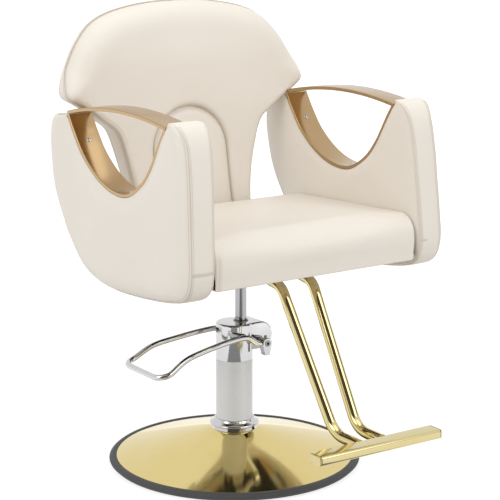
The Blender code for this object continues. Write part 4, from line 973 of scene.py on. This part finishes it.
def make_lumbar():
    """Front: the tuck's depth, less a quarter round over PAD_ROUND, less a parabola for the crown."""
    spring = PAD_TOP - PAD_HALF
    turn = np.linspace(0, np.pi, 90)
    arch = np.column_stack([PAD_HALF * np.cos(turn), spring + PAD_HALF * np.sin(turn)])
    corner = np.array([(-PAD_HALF, PAD_FOOT), (PAD_HALF, PAD_FOOT)])
    outline = evenly(np.vstack([arch, corner, arch[:1]]), PAD_POINTS + 1)[:-1]
    spine = np.column_stack([np.zeros(PAD_POINTS), np.clip(outline[:, 1], PAD_SPINE_FOOT, spring)])
    share = np.linspace(0, 1, PAD_RINGS)[:, None, None] ** PAD_SPREAD
    plan = outline[None] + (spine - outline)[None] * share * PAD_POLE
    x, z = plan[..., 0], plan[..., 1]
    inset = np.linalg.norm(plan - outline[None], axis=2)
    rise = np.sqrt(1 - np.clip(1 - inset / PAD_ROUND, 0, 1) ** 2)
    crown = 1 - (1 - np.clip(inset / PAD_HALF, 0, 1)) ** 2
    height = PAD_TUCK - (PAD_TUCK + EDGE_SHARE * PAD_PROUD) * rise - CROWN_SHARE * PAD_PROUD * crown
    front = np.dstack([x, back_face(x, z) + height, z])
    rear = np.dstack([x[0], back_face(x[0], z[0]) + PAD_REAR, z[0]])[0]
    grid = np.concatenate([rear[None], front])
    # Painted shade: the fold round the pad and its rear ring are darkened.
    fold = FOLD_SHADE * np.exp(-(inset / CREASE_WIDTH) ** 2)
    seam = np.concatenate([np.full((1, PAD_POINTS), PAD_SHADE), fold])
    piece = grid_piece("lumbar_cover", grid + SHIFT, LEATHERETTE, seam=seam)
    pinned = np.concatenate([np.ones((1, PAD_POINTS)), (inset < PAD_SEWN).astype(float)])
    inflate(piece, pinned.ravel(), PAD_PRESSURE, PAD_SWELL)
    settle(piece, "seat", "leatherette", "lumbar_pad")


make_lumbar()

# %% [markdown]
# ## The seat cushion
# One panel runs from the back over the top, rolls over the front edge and is pulled under the board. At one
# front corner the spare skin is folded into an upright tuck. The section is a closed outline in the side
# view; it is carried across the width, and near both ends it draws in, which rounds the side edges.

# %% Seat cushion
SEAT_HALF = 0.2605
SEAT_FRONT = -0.2935
SEAT_REAR = 0.1525
SEAT_FRONT_TOP = 0.589
SEAT_REAR_TOP = 0.566
SKIRT_FOOT = 0.4858
SKIRT_REAR = -0.2858
BOARD_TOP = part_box("seat_board")[1].z
SEAT_COLUMNS = 240
SEAT_ROWS = 110
SIDE_ROUND = 0.007
SEAT_CROWN = 0.001
SEAT_HEART = np.array([-0.07, 0.54])
SEAT_SLACK_HEIGHT = 0.6 * MM
SEAT_SLACK_SIZE = 0.13
SKIRT_BELLY = 0.003
BELLY_Z, BELLY_SPREAD = 0.53, 0.025
TUCK_DEPTH = 0.0035
TUCK_FROM_END, TUCK_WIDTH = 0.009, 0.0028
SEAT_GAP = 0.0006
SEAT_ROUNDS = (0.0035, 0.040, 0.022, 0.006, 0.002, 0.0008)
SEAT_PRESSURE, SEAT_SWELL = 3.0, 0.005
# Where the section may draw in, where it crowns, and where the tuck fades: from none to full.
SOFT_ABOVE, SOFT_BEFORE = (0.497, 0.515), (-0.270, -0.285)
CROWN_ABOVE = (0.535, 0.56)
TUCK_BELOW = (0.575, 0.545)
BELLY_BEFORE, TUCK_BEFORE = -0.27, -0.255
# Where the cover is held to the board: low down, at the rear, and at both ends.
LOOSE_ABOVE, HELD_BEHIND = (0.50, 0.53), (0.125, 0.150)
HELD_ENDS = (SEAT_HALF - 0.03, SEAT_HALF - 0.012)


def seat_outline():
    """Closed outline in the side view (y, z), read at even steps."""
    floor = BOARD_TOP + SEAT_GAP
    corners = [(SEAT_FRONT, SKIRT_FOOT), (SEAT_FRONT, SEAT_FRONT_TOP), (SEAT_REAR, SEAT_REAR_TOP),
               (SEAT_REAR, floor), (SKIRT_REAR, floor), (SKIRT_REAR, SKIRT_FOOT)]
    line = rounded(corners, SEAT_ROUNDS, 12)
    return evenly(np.vstack([line, line[:1]]), SEAT_COLUMNS + 1)[:-1]


def make_seat():
    """The outline moves inwards by a quarter round at both ends; crown, belly and tuck are added to it."""
    outline = seat_outline()
    ahead = unit(np.roll(outline, -1, 0) - np.roll(outline, 1, 0))
    inward = np.column_stack([ahead[:, 1], -ahead[:, 0]])
    inward *= np.sign(((SEAT_HEART - outline) * inward).sum(1).mean())
    soft = np.maximum(ease(*SOFT_ABOVE, outline[:, 1]), ease(*SOFT_BEFORE, outline[:, 0]))
    turn = np.linspace(0, np.pi / 2, 10)[1:]
    flat = np.linspace(-1, 1, SEAT_ROWS) * (SEAT_HALF - SIDE_ROUND)
    end = SEAT_HALF - SIDE_ROUND * (1 - np.sin(turn))
    drop = SIDE_ROUND * (1 - np.cos(turn))
    x = np.concatenate([-end[::-1], flat, end])
    depth = np.concatenate([drop[::-1], 0 * flat, drop])
    ring = outline[None] + inward[None] * (depth[:, None] * soft[None])[..., None]
    top = ease(*CROWN_ABOVE, ring[..., 1])
    ring[..., 1] += SEAT_CROWN * top * (1 - (x[:, None] / SEAT_HALF) ** 2)
    belly = np.exp(-((ring[..., 1] - BELLY_Z) / BELLY_SPREAD) ** 2) * (ring[..., 0] < BELLY_BEFORE)
    ring[..., 0] -= SKIRT_BELLY * belly
    grid = np.dstack([np.broadcast_to(x[:, None], ring.shape[:2]), ring])
    tuck = np.exp(-((x + SEAT_HALF - TUCK_FROM_END) / TUCK_WIDTH) ** 2)[:, None]
    tuck = tuck * (ring[..., 0] < TUCK_BEFORE) * ease(*TUCK_BELOW, ring[..., 1])
    grid[..., 1] += TUCK_DEPTH * tuck
    grid[..., 2] += SEAT_SLACK_HEIGHT * waver(grid, SEAT_SLACK_SIZE, 21) * top
    # Painted shade darkens the fold of the tuck.
    piece = grid_piece("seat_cover", grid + SHIFT, LEATHERETTE, seam=FOLD_SHADE * tuck)
    held = [1 - ease(*LOOSE_ABOVE, grid[..., 2]), ease(*HELD_BEHIND, grid[..., 1]),
            ease(*HELD_ENDS, np.abs(grid[..., 0]))]
    inflate(piece, np.max(held, 0).ravel(), SEAT_PRESSURE, SEAT_SWELL)
    settle(piece, "seat", "leatherette", "seat_cushion")


make_seat()

# %% [markdown]
# ## Under the seat
# The seat's cover is pulled round the board and stapled below it, which leaves a cream hem along the front.
# Behind that a black non-woven cloth hides the springs; its black is also painted shade for the dark under
# the seat. Both are seldom looked at, but the polished base and the footrest mirror them, and that dark patch
# is what makes the gold look deep.

# %% Hem and dust cloth
HEM_MARGIN = 0.006
CLOTH_MARGIN = 0.030
CLOTH_FRONT = 0.110
CLOTH_THICK = 0.2 * MM
CLOTH_GAP = 0.05 * MM


def make_underside(name, x, y, material):
    """A thin sheet under the board, from one corner to the other."""
    z = np.array([SEAT_LEVEL - CLOTH_THICK, SEAT_LEVEL]) - CLOTH_GAP
    section = np.array([(y[0], z[0]), (y[1], z[0]), (y[1], z[1]), (y[0], z[1])])
    settle(grid_piece(name, drawn_out(section, x, 0), material), "seat", "leatherette")


board_low, board_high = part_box("seat_board")
sheet_x = (board_low.x + CLOTH_MARGIN, board_high.x - CLOTH_MARGIN)
cloth_front = board_low.y + CLOTH_FRONT
make_underside("cover_hem", sheet_x, (board_low.y + HEM_MARGIN, cloth_front), LEATHERETTE)
# The dust cloth's black is also painted shade under the seat.
make_underside("dust_cloth_shade", sheet_x, (cloth_front + 2 * CLOTH_GAP, board_high.y - HEM_MARGIN), CAMBRIC_SHADE)

# %% [markdown]
# ## The bands of the arms
# A flat steel band lines each eye, and an arched bar of the same section closes it on top as the armrest.
# Both are a rounded rectangle carried along a curve that lies in the arm's own plane. Screws with domed
# heads hold the band to the wood behind it.

# %% Bands, bars and screws
BAND_MIDDLE = (BAND_INNER + BAND_OUTER) / 2
BAND_WIDTH = BAND_OUTER - BAND_INNER
BAND_THICK = 0.0080
BAND_EDGE = 0.0018
BAND_GAP, SCREW_GAP = 0.0003, 0.0002
BAND_STOP = 0.6
BAND_STATIONS, BAR_STATIONS = 160, 90
BAR_LOW_END, BAR_HIGH_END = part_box("armrest_bar_left")
BAR_PEAK_Y = -0.043
BAR_PEAK_Z = BAR_HIGH_END.z
BAR_RADIUS = 1.025
SCREW_PLACES = (0.50, 0.88)
SCREW_RADIUS, SCREW_HEIGHT = 0.0055, 0.0030
SCREW_SIDES = 48
DOME_ANGLE = 62
SCREW_NECK = (0.0036, -0.0022)
SCREW_SOCKET = ((0.0024, 0.00265), (0.0021, 0.0024), (0.0020, 0.0010), (0.0004, 0.0009))


def band_section():
    half = np.array([BAND_WIDTH / 2, BAND_THICK / 2])
    corners = np.array([(-1, -1), (1, -1), (1, 1), (-1, 1)]) * half
    return rounded(corners, BAND_EDGE, 4)


def bar_top(y):
    """The bar's top is a parabola about its peak."""
    return BAR_PEAK_Z - (y - BAR_PEAK_Y) ** 2 / (2 * BAR_RADIUS)


def make_bands(word, side):
    ahead = unit(np.gradient(eye_line, axis=0))
    out = np.column_stack([-ahead[:, 1], ahead[:, 0]])
    middle = eye_line + out * (BAND_THICK / 2 + BAND_GAP)
    keep = middle[:, 1] < bar_top(middle[:, 0]) - BAND_STOP * BAND_THICK
    middle = evenly(middle[keep], BAND_STATIONS)
    x = AXIS_X + side * BAND_MIDDLE
    path = np.column_stack([np.full(len(middle), x), middle])
    across = np.array([1.0, 0, 0])
    liner = swept("eye_band_" + word, path, band_section(), BRONZE, across)
    settle(liner, "seat", "champagne_band", "arm_liner_" + word)
    y = np.linspace(BAR_LOW_END.y, BAR_HIGH_END.y, BAR_STATIONS)
    path = np.column_stack([np.full(len(y), x), y, bar_top(y) - BAND_THICK / 2])
    bar = swept("armrest_" + word, path, band_section(), BRONZE, across)
    settle(bar, "seat", "champagne_band", "armrest_bar_" + word)
    for number, place in enumerate(SCREW_PLACES, 1):
        i = round(place * (len(eye_line) - 1))
        seat = np.array([x, *(eye_line[i] + out[i] * (BAND_THICK + SCREW_GAP))])
        make_screw("eye_screw_%s_%d" % (word, number), seat, np.array([0.0, *out[i]]),
                   "band_screw_%s_%d" % (word, number))


def make_screw(name, seat, out, node):
    """Domed head with a round socket: the rings follow a part of an ellipse, then the socket's wall."""
    turn = np.linspace(0, 1, 9) * math.radians(DOME_ANGLE)
    dome = np.column_stack([SCREW_RADIUS * np.cos(turn), SCREW_HEIGHT * np.sin(turn)])
    profile = np.vstack([[SCREW_NECK, (SCREW_RADIUS, -SCREW_GAP)], dome, SCREW_SOCKET])
    first = unit(np.cross(out, [1.0, 0, 0]))
    spoke = disc(1.0, SCREW_SIDES) @ np.stack([first, np.cross(out, first)])
    rings = seat + profile[:, :1, None] * spoke[None] + profile[:, 1:, None] * out
    settle(grid_piece(name, rings, CHROME), "seat", "chrome", node)


for word, side in (("left", 1), ("right", -1)):
    make_bands(word, side)

# %% [markdown]
# ## The round base
# The dish is one sheet of steel, pressed on a lathe former: a shallow cone with a short rise at the hub. A
# lathe needs only its profile. A rubber ring grips the rim, and a chrome collar with a coned top covers the
# hole where the pump goes through.

# %% Dish, ring and collar
BASE_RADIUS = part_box("base_trim_ring")[1].x
RING_SETTLES = 0.003
RING_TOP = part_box("base_trim_ring")[1].z - RING_SETTLES
TUBE_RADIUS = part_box("pump_cylinder")[1].x
RIM = BASE_RADIUS - 0.010
LIP = BASE_RADIUS - 0.018
HUB_BORE = TUBE_RADIUS + 0.0004
HUB_RADIUS = HUB_BORE + 0.008
HUB_LENGTH = 0.012
HUB_RISE = 0.0058
DISH_RIM = 0.0133
DISH_RISE = 0.066
DISH_SHEET = 0.0025
RING_SLOPE = 0.0002
RING_BELT = 0.0095
RING_CHANNEL = 0.0105
COLLAR_RISE = 0.0045
COLLAR_ROUND = 0.0038
FIT = 0.0003


def dish_height(radius):
    """Cone from rim to hub plus an exponential rise at the hub, which ends level."""
    run = (RIM - radius) / (RIM - TUBE_RADIUS)
    hub = HUB_RISE * np.exp(-np.maximum(0, radius - HUB_RADIUS) / HUB_LENGTH)
    return DISH_RIM + DISH_RISE * run + hub


def make_base():
    outward = np.linspace(0, 1, 90) ** 1.7
    radius = np.concatenate([[HUB_BORE], HUB_RADIUS + (RIM - FIT - HUB_RADIUS) * outward])
    top = np.column_stack([radius, dish_height(radius)])
    dish = turned("pressed_dish", np.vstack([top, (top - [0, DISH_SHEET])[::-1]]), SPUN_GOLD, 256)
    settle(dish, "base", "gold_plate", "base_dish")
    slot = float(dish_height(LIP)) + FIT
    corners = [(LIP, 0.0), (BASE_RADIUS - 0.010, 0.0), (BASE_RADIUS, RING_BELT),
               (BASE_RADIUS - 0.009, RING_TOP), (LIP, RING_TOP - RING_SLOPE), (LIP, slot), (RIM, slot),
               (RIM, RING_CHANNEL), (LIP, RING_CHANNEL)]
    rounds = [0.0008, 0.0015, 0.0030, 0.0050] + [0.0002] * 5
    ring = turned("rubber_rim", rounded(corners, rounds, 6), RUBBER, 256)
    settle(ring, "base", "rubber", "base_trim_ring")
    wide, _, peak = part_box("base_flange")[1]
    under = np.linspace(wide - 0.0012, HUB_BORE, 14)
    seat_line = np.column_stack([under, dish_height(under) + FIT])
    crest = [(HUB_BORE, peak + COLLAR_RISE), (HUB_BORE + 0.0028, peak + COLLAR_RISE),
             (HUB_BORE + 0.0040, peak + 0.0036), (HUB_BORE + 0.0050, peak + 0.0010),
             (wide - 0.0034, peak - 0.0042)]
    turn = np.linspace(np.pi / 3, -np.pi / 2.4, 12)
    belly = COLLAR_ROUND * np.column_stack([np.cos(turn) - 1, np.sin(turn)]) + [wide, peak - 0.0080]
    collar = turned("hub_collar", np.vstack([crest, belly, seat_line]), CHROME, 128)
    settle(collar, "base", "chrome", "base_flange")


make_base()

# %% [markdown]
# ## The pump
# The pump's outer tube is lacquered; its chrome head carries a rounded lobe for the shaft of the foot
# lever. The tube, the bush and the rod are lathe work. The head is a turned body joined to the lobe by a
# Boolean, with a bevel that breaks the lobe's edges so that they catch the light.

# %% Tube, head, bush and rod
HEAD_LOW, HEAD_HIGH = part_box("pump_head")
PIVOT = np.array(joints["pump_pedal"]["pos_m"])
ROD_RADIUS = (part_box("piston_rod")[1].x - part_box("piston_rod")[0].x) / 2
ROD_GAP = 0.0004
ROD_BREAK = 0.0015
TUBE_WALL = 0.0035
HEAD_EDGE = 0.0045
LOBE_RADIUS = 0.031
LOBE_HALF = 0.035
LOBE_EDGE = 0.0035
LOBE_BELOW_TOP = 0.001
LOBE_SHARP = 50
BORE_CLEAR = 0.004
BORE_LOW, BORE_HIGH = 0.20, 0.40
BORE_AXIS_GAP = 0.0001
# A solid lathe outline starts and ends this far from its axis.
AXIS_GAP = 0.0004
ROD_AXIS = (AXIS_X, 0.0)


def applied(piece):
    """The piece with its modifiers turned into mesh."""
    done = bpy.data.meshes.new_from_object(piece.evaluated_get(bpy.context.evaluated_depsgraph_get()))
    piece.modifiers.clear()
    piece.data = done
    return piece


def combine(piece, tool, operation):
    """Joins or cuts the piece with a tool by a Boolean and removes the tool."""
    step = piece.modifiers.new(operation, "BOOLEAN")
    step.operation = operation
    step.object = tool
    step.solver = "EXACT"
    applied(piece)
    bpy.data.objects.remove(tool, do_unlink=True)


def arc_profile(radius, top, low, edge):
    """Half outline of a plain round body with a rounded upper edge, closed on its axis."""
    turn = np.linspace(np.pi / 2, 0, 10)
    corner = np.column_stack([radius - edge + edge * np.cos(turn), top - edge + edge * np.sin(turn)])
    return np.vstack([[(AXIS_GAP, top)], corner, [(radius, low), (AXIS_GAP, low)]])


def make_head():
    """A turned body, joined to the lobe of the lever's shaft and bored for the rod."""
    profile = arc_profile(HEAD_HIGH.y, HEAD_HIGH.z, HEAD_LOW.z, HEAD_EDGE)
    head = turned("chrome_head", profile, CHROME, 128, solid=True)
    centre_z = HEAD_HIGH.z - LOBE_RADIUS - LOBE_BELOW_TOP
    turn = np.linspace(np.pi / 2, -np.pi / 2, 40)
    nose = LOBE_RADIUS * np.column_stack([np.cos(turn), np.sin(turn)]) + [PIVOT[0], centre_z]
    side = np.vstack([nose, [(0.0, centre_z - LOBE_RADIUS), (0.0, centre_z + LOBE_RADIUS)]])
    lobe = grid_piece("lobe", drawn_out(side, (-LOBE_HALF, LOBE_HALF), 1), CHROME)
    edge = lobe.modifiers.new("edge", "BEVEL")
    edge.width = LOBE_EDGE
    edge.segments = 4
    edge.limit_method = "ANGLE"
    edge.angle_limit = math.radians(LOBE_SHARP)
    combine(head, applied(lobe), "UNION")
    wide = ROD_RADIUS + BORE_CLEAR
    through_head = [(BORE_AXIS_GAP, BORE_LOW), (wide, BORE_LOW), (wide, BORE_HIGH),
                    (BORE_AXIS_GAP, BORE_HIGH)]
    combine(head, turned("bore", through_head, CHROME, 64, ROD_AXIS, solid=True), "DIFFERENCE")
    smooth(head.data, CAST_EDGE)
    settle(head, "base", "chrome", "pump_head")


def make_pump():
    low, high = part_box("pump_cylinder")
    inside = TUBE_RADIUS - TUBE_WALL
    tube = [(TUBE_RADIUS, low.z), (TUBE_RADIUS, high.z - 0.0012), (TUBE_RADIUS - 0.0009, high.z),
            (inside, high.z), (inside, low.z)]
    settle(turned("lacquered_tube", tube, LACQUER, 128), "base", "satin_tube", "pump_cylinder")
    make_head()
    low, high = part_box("rod_gland")
    inside = ROD_RADIUS + ROD_GAP
    outside = ROD_RADIUS + 0.0037
    bush = [(inside, low.z), (outside, low.z), (outside, high.z - 0.0012),
            (outside - 0.0009, high.z - 0.0003), (ROD_RADIUS + 0.0012, high.z), (inside, high.z - 0.0008)]
    settle(turned("rod_bush", bush, ZINC, 96, ROD_AXIS), "base", "zinc_steel", "rod_gland")
    low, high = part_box("piston_rod")
    shaft = [(AXIS_GAP, low.z), (ROD_RADIUS, low.z), (ROD_RADIUS, high.z - ROD_BREAK),
             (ROD_RADIUS - ROD_BREAK, high.z), (AXIS_GAP, high.z)]
    # The darker chrome of the rod is painted shade for the darker surroundings it mirrors.
    rod = turned("chrome_rod", shaft, HARD_CHROME_SHADED, 96, ROD_AXIS, solid=True)
    settle(rod, "rod", "chrome", "piston_rod")
    roof = high.z + ROD_GAP
    low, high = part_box("swivel_socket")
    cone = [(AXIS_GAP, high.z), (0.040, high.z), (0.0392, high.z - 0.004), (0.0225, low.z + 0.002),
            (0.0212, low.z), (inside, low.z), (inside, roof), (AXIS_GAP, roof)]
    socket = turned("enamel_socket", cone, ENAMEL, 96, ROD_AXIS, solid=True)
    settle(socket, "seat", "black_steel", "swivel_socket")


make_pump()

# %% [markdown]
# ## The foot lever
# The lever is one bar, bent into a loop that a shoe can press, with its two ends in collars on the shaft. A
# round section carried along the loop makes it. Each collar is an outline with a round top and a tapered
# lug, drawn out along the shaft, and its set screw stands in its top.

# %% Lever and collars
LEVER_RADIUS = 0.0065
LEVER_REACH = 0.295
LEVER_HALF = 0.077
LEVER_DROP = 0.030
LEVER_TOE = 0.006
LEVER_CORNER = 0.026
LEVER_CROWN = 0.019
LEVER_SOFTEN = 8
COLLAR_RADIUS = 0.0125
LUG_HALF, LUG_DROP = 0.006, 0.027
COLLAR_BREAK = 0.001
COLLAR_END = 0.92
SHAFT_GAP = 0.0003
LEVER_STATIONS = 260
COLLAR_CLEAR = 0.0006
BORE_PAST = 0.01
COLLAR_Y = (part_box("lever_collar_rear")[0].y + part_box("lever_collar_rear")[1].y) / 2
LEVER_COURSE = np.array([(0.17, 0.04, 1.0), (0.34, 0.20, 1.0), (0.58, 0.48, 0.55), (0.76, 0.76, 0.0)])


def lever_path():
    """Half the loop from a collar to the middle of the crossbar, then the same half mirrored."""
    start = -(COLLAR_RADIUS + COLLAR_CLEAR)
    spread = LEVER_HALF - COLLAR_Y
    course = np.column_stack([-LEVER_REACH * LEVER_COURSE[:, 0], COLLAR_Y + spread * LEVER_COURSE[:, 1],
                              LEVER_CROWN * LEVER_COURSE[:, 2]])
    knots = np.vstack([[(start - LEVER_RADIUS, COLLAR_Y, 0.0)], course,
                       [(LEVER_CORNER - LEVER_REACH, LEVER_HALF, LEVER_TOE - LEVER_DROP)]])
    turn = np.linspace(0, np.pi / 2, 14)[1:]
    corner = np.column_stack([LEVER_CORNER - LEVER_REACH - LEVER_CORNER * np.sin(turn),
                              LEVER_HALF - LEVER_CORNER * (1 - np.cos(turn)),
                              LEVER_TOE * (1 - np.sin(turn)) - LEVER_DROP])
    half = np.vstack([[(start, COLLAR_Y, 0.0)], through(knots, 60), corner])
    whole = np.vstack([half, (half * [1, -1, 1])[::-1]])
    line = evenly(whole, LEVER_STATIONS)
    for _ in range(LEVER_SOFTEN):
        line[1:-1] = 0.5 * line[1:-1] + 0.25 * (line[2:] + line[:-2])
    return line + PIVOT


def make_lever():
    bar = swept("lever_loop", lever_path(), disc(LEVER_RADIUS, 28), CHROME)
    settle(bar, "lever", "chrome", "pump_lever")
    turn = np.radians(np.linspace(200, -20, 40))
    outline = np.vstack([COLLAR_RADIUS * np.column_stack([np.cos(turn), np.sin(turn)]),
                         [(LUG_HALF, -LUG_DROP), (-LUG_HALF, -LUG_DROP)]])
    centre = PIVOT[[0, 2]]
    bore = centre + disc(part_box("pivot_shaft")[1].x - PIVOT[0] + SHAFT_GAP, 40)
    for word in ("front", "rear"):
        low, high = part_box("lever_collar_" + word)
        stations = [(low.y, COLLAR_END), (low.y + COLLAR_BREAK, 1.0), (high.y - COLLAR_BREAK, 1.0),
                    (high.y, COLLAR_END)]
        rings = np.stack([np.insert(centre + outline * size, 1, y, axis=1) for y, size in stations])
        collar = grid_piece("collar_" + word, rings, CHROME)
        tool = drawn_out(bore, (low.y - BORE_PAST, high.y + BORE_PAST), 1)
        combine(collar, grid_piece("bore", tool, CHROME), "DIFFERENCE")
        smooth(collar.data, CAST_EDGE)
        settle(collar, "lever", "chrome", "lever_collar_" + word)


make_lever()

# %% [markdown]
# ## The footrest
# Two gold tubes come out from under the seat, slope forwards and bend level to meet a flat bar. Each tube
# is a disc carried along straight runs joined by arcs. The bar is an extrusion with round edges, closed at
# both ends by caps.

# %% Footrest tubes and bar
FOOT_TUBE = 0.0118
FOOT_BENDS = (0.036, 0.060)
TUBE_TOP_X, TUBE_FOOT_X = 0.041, 0.030
FOOT_TOP_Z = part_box("footrest_tube_left")[1].z - FOOT_TUBE
FOOT_LOW_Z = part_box("footrest_tube_left")[0].z + FOOT_TUBE
FOOT_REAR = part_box("footrest_tube_left")[1].y
FOOT_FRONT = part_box("footrest_tube_left")[0].y
TUBE_KNEE_Y, TUBE_RUN = -0.2151, 0.083
TUBE_SAG = 0.016
BAR_LOW, BAR_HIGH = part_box("footrest_bar")
BAR_EDGES = (0.005, 0.004, 0.004, 0.007)


def make_footrest():
    for word, side in (("left", 1), ("right", -1)):
        top_x = AXIS_X + side * TUBE_TOP_X
        foot_x = AXIS_X + side * TUBE_FOOT_X
        corners = [(top_x, FOOT_REAR, FOOT_TOP_Z), (top_x, TUBE_KNEE_Y, FOOT_TOP_Z - TUBE_SAG),
                   (foot_x, FOOT_FRONT + TUBE_RUN, FOOT_LOW_Z), (foot_x, FOOT_FRONT, FOOT_LOW_Z)]
        route = evenly(bent(corners, FOOT_BENDS), 150)
        tube = swept("gold_tube_" + word, route, disc(FOOT_TUBE, 36), GOLD)
        settle(tube, "seat", "gold_plate", "footrest_tube_" + word)
    corners = [(BAR_LOW.y, BAR_LOW.z), (BAR_HIGH.y, BAR_LOW.z), (BAR_HIGH.y, BAR_HIGH.z),
               (BAR_LOW.y, BAR_HIGH.z)]
    rings = drawn_out(rounded(corners, BAR_EDGES, 10), np.linspace(BAR_LOW.x, BAR_HIGH.x, 40), 0)
    settle(grid_piece("foot_bar", rings, GOLD), "seat", "gold_plate", "footrest_bar")


make_footrest()

# %% [markdown]
# ## The pieces that keep their own shape
# Bolts, brackets and plates are right as they are. They only need their finish: each record slot names one.

# %% Finishes on the carried-over pieces
FINISHES = {"gold_plate": GOLD, "chrome": CHROME, "zinc_steel": ZINC, "black_steel": ENAMEL,
            "rubber": RUBBER, "plywood": PLYWOOD, "satin_tube": LACQUER, "champagne_band": BRONZE,
            "leatherette": LEATHERETTE}
slots = {part["node"]: part["material_slot"] for part in frame["record"]["subparts"]}
for name, item in frame["nodes"].items():
    item.data.materials.clear()
    item.data.materials.append(FINISHES[slots[name]])
print("finished", len(frame["nodes"]), "carried-over nodes")

# %% [markdown]
# ## Studio
# The background is white paper that sweeps away under the chair. The floor still takes a soft shadow: for
# rays that look at it, most of its brightness is its own and a part comes from the lamps. Three large soft
# lamps light the leather from the front, above and the side. Two dark cards beside the chair and a grey
# one on the floor, which only reflections can see, give the metal its edges, as in a real studio.

# %% Floor and world
FLOOR_SIZE = 60.0
FLOOR_LEVEL = -0.0005
SHADOW_SHARE = 0.35
NEAR, FAR = 0.7, 2.5
NEAR_GLOW, FAR_GLOW = 0.76, 1.0
FILL, WHITE = 0.80, 1.0


def seen_rays(tree):
    """One where a ray comes from the camera, a reflection or through glass."""
    path = add(tree, "LightPath")
    some = add(tree, "Math", {0: (path, "Is Camera Ray"), 1: (path, "Is Glossy Ray")}, operation="MAXIMUM")
    return add(tree, "Math", {0: (some, "Value"), 1: (path, "Is Transmission Ray")}, operation="MAXIMUM")


def flat_sheet(name, size, level, material):
    """A rectangle about the origin at that level."""
    corners = np.array([(-1, -1, 0), (1, -1, 0), (1, 1, 0), (-1, 1, 0)]) * [size[0] / 2, size[1] / 2, 0]
    return new_piece(name, corners + [0, 0, level], [(0, 1, 2, 3)], material)


def make_floor():
    material = bpy.data.materials.new("white_paper")
    material.use_nodes = True
    tree = material.node_tree
    tree.nodes.clear()
    paper = add(tree, "BsdfDiffuse", {"Color": linear("#dcdcdc")})
    grey = add(tree, "BsdfDiffuse", {"Color": (SHADOW_SHARE, SHADOW_SHARE, SHADOW_SHARE, 1.0)})
    place = add(tree, "TexCoord")
    away = add(tree, "VectorMath", {0: (place, "Object")}, operation="LENGTH")
    level = add(tree, "MapRange", {"Value": (away, "Value"), "From Min": NEAR, "From Max": FAR,
                                   "To Min": NEAR_GLOW, "To Max": FAR_GLOW})
    glow = add(tree, "Emission", {"Color": linear("#ffffff"), "Strength": (level, "Result")})
    lit = add(tree, "AddShader", {0: (grey, "BSDF"), 1: (glow, "Emission")})
    mixed = add(tree, "MixShader", {0: (seen_rays(tree), "Value"), 1: (paper, "BSDF"), 2: (lit, "Shader")})
    add(tree, "OutputMaterial", {"Surface": (mixed, "Shader")})
    flat_sheet("floor", (FLOOR_SIZE, FLOOR_SIZE), FLOOR_LEVEL, material)


def make_world():
    world = bpy.data.worlds.new("studio")
    world.use_nodes = True
    tree = world.node_tree
    tree.nodes.clear()
    fill, white = (add(tree, "Background", {"Color": linear("#ffffff"), "Strength": strength})
                   for strength in (FILL, WHITE))
    mixed = add(tree, "MixShader", {0: (seen_rays(tree), "Value"), 1: (fill, "Background"),
                                    2: (white, "Background")})
    add(tree, "OutputWorld", {"Surface": (mixed, "Shader")})
    bpy.context.scene.world = world
    bpy.context.scene.view_settings.view_transform = "Standard"


make_floor()
make_world()

# %% Lamps and cards
LOOK_AT = Vector((0.0, -0.05, 0.6))


def aim(item, place):
    item.location = place
    item.rotation_euler = (LOOK_AT - Vector(place)).to_track_quat("-Z", "Y").to_euler()


def make_lamp(name, place, size, power):
    lamp = bpy.data.lights.new(name, "AREA")
    lamp.shape = "RECTANGLE"
    lamp.size, lamp.size_y = size
    lamp.energy = power
    item = bpy.data.objects.new(name, lamp)
    bpy.context.scene.collection.objects.link(item)
    aim(item, place)


def make_card(name, place, size, shade, flat=False):
    """A felt card: it stands in the reflections and hides from the camera, soft light and shadows."""
    felt = start_material("felt_" + name, Base_Color=linear(shade), Roughness=1.0,
                          Specular_IOR_Level=0.0)[0]
    card = flat_sheet(name, size, 0.0, felt)
    card.visible_camera = False
    card.visible_shadow = False
    card.visible_diffuse = False
    aim(card, place)
    if flat:
        card.rotation_euler = (0.0, 0.0, math.atan2(place[1], place[0]))


make_lamp("front_softbox", (1.2, -3.0, 2.8), (2.4, 1.8), 26)
make_lamp("overhead_softbox", (0.2, 0.0, 3.4), (2.6, 2.6), 17)
make_lamp("side_softbox", (-2.8, -0.3, 2.5), (1.6, 2.0), 21)
make_card("card_camera", (-1.75, -2.55, 1.7), (4.2, 3.8), "#5d574e")
make_card("card_right", (3.3, -1.4, 0.9), (1.2, 2.4), "#2b2927")
make_card("card_floor", (-0.72, -1.05, 0.002), (1.7, 1.15), "#949494", flat=True)
print("studio ready")
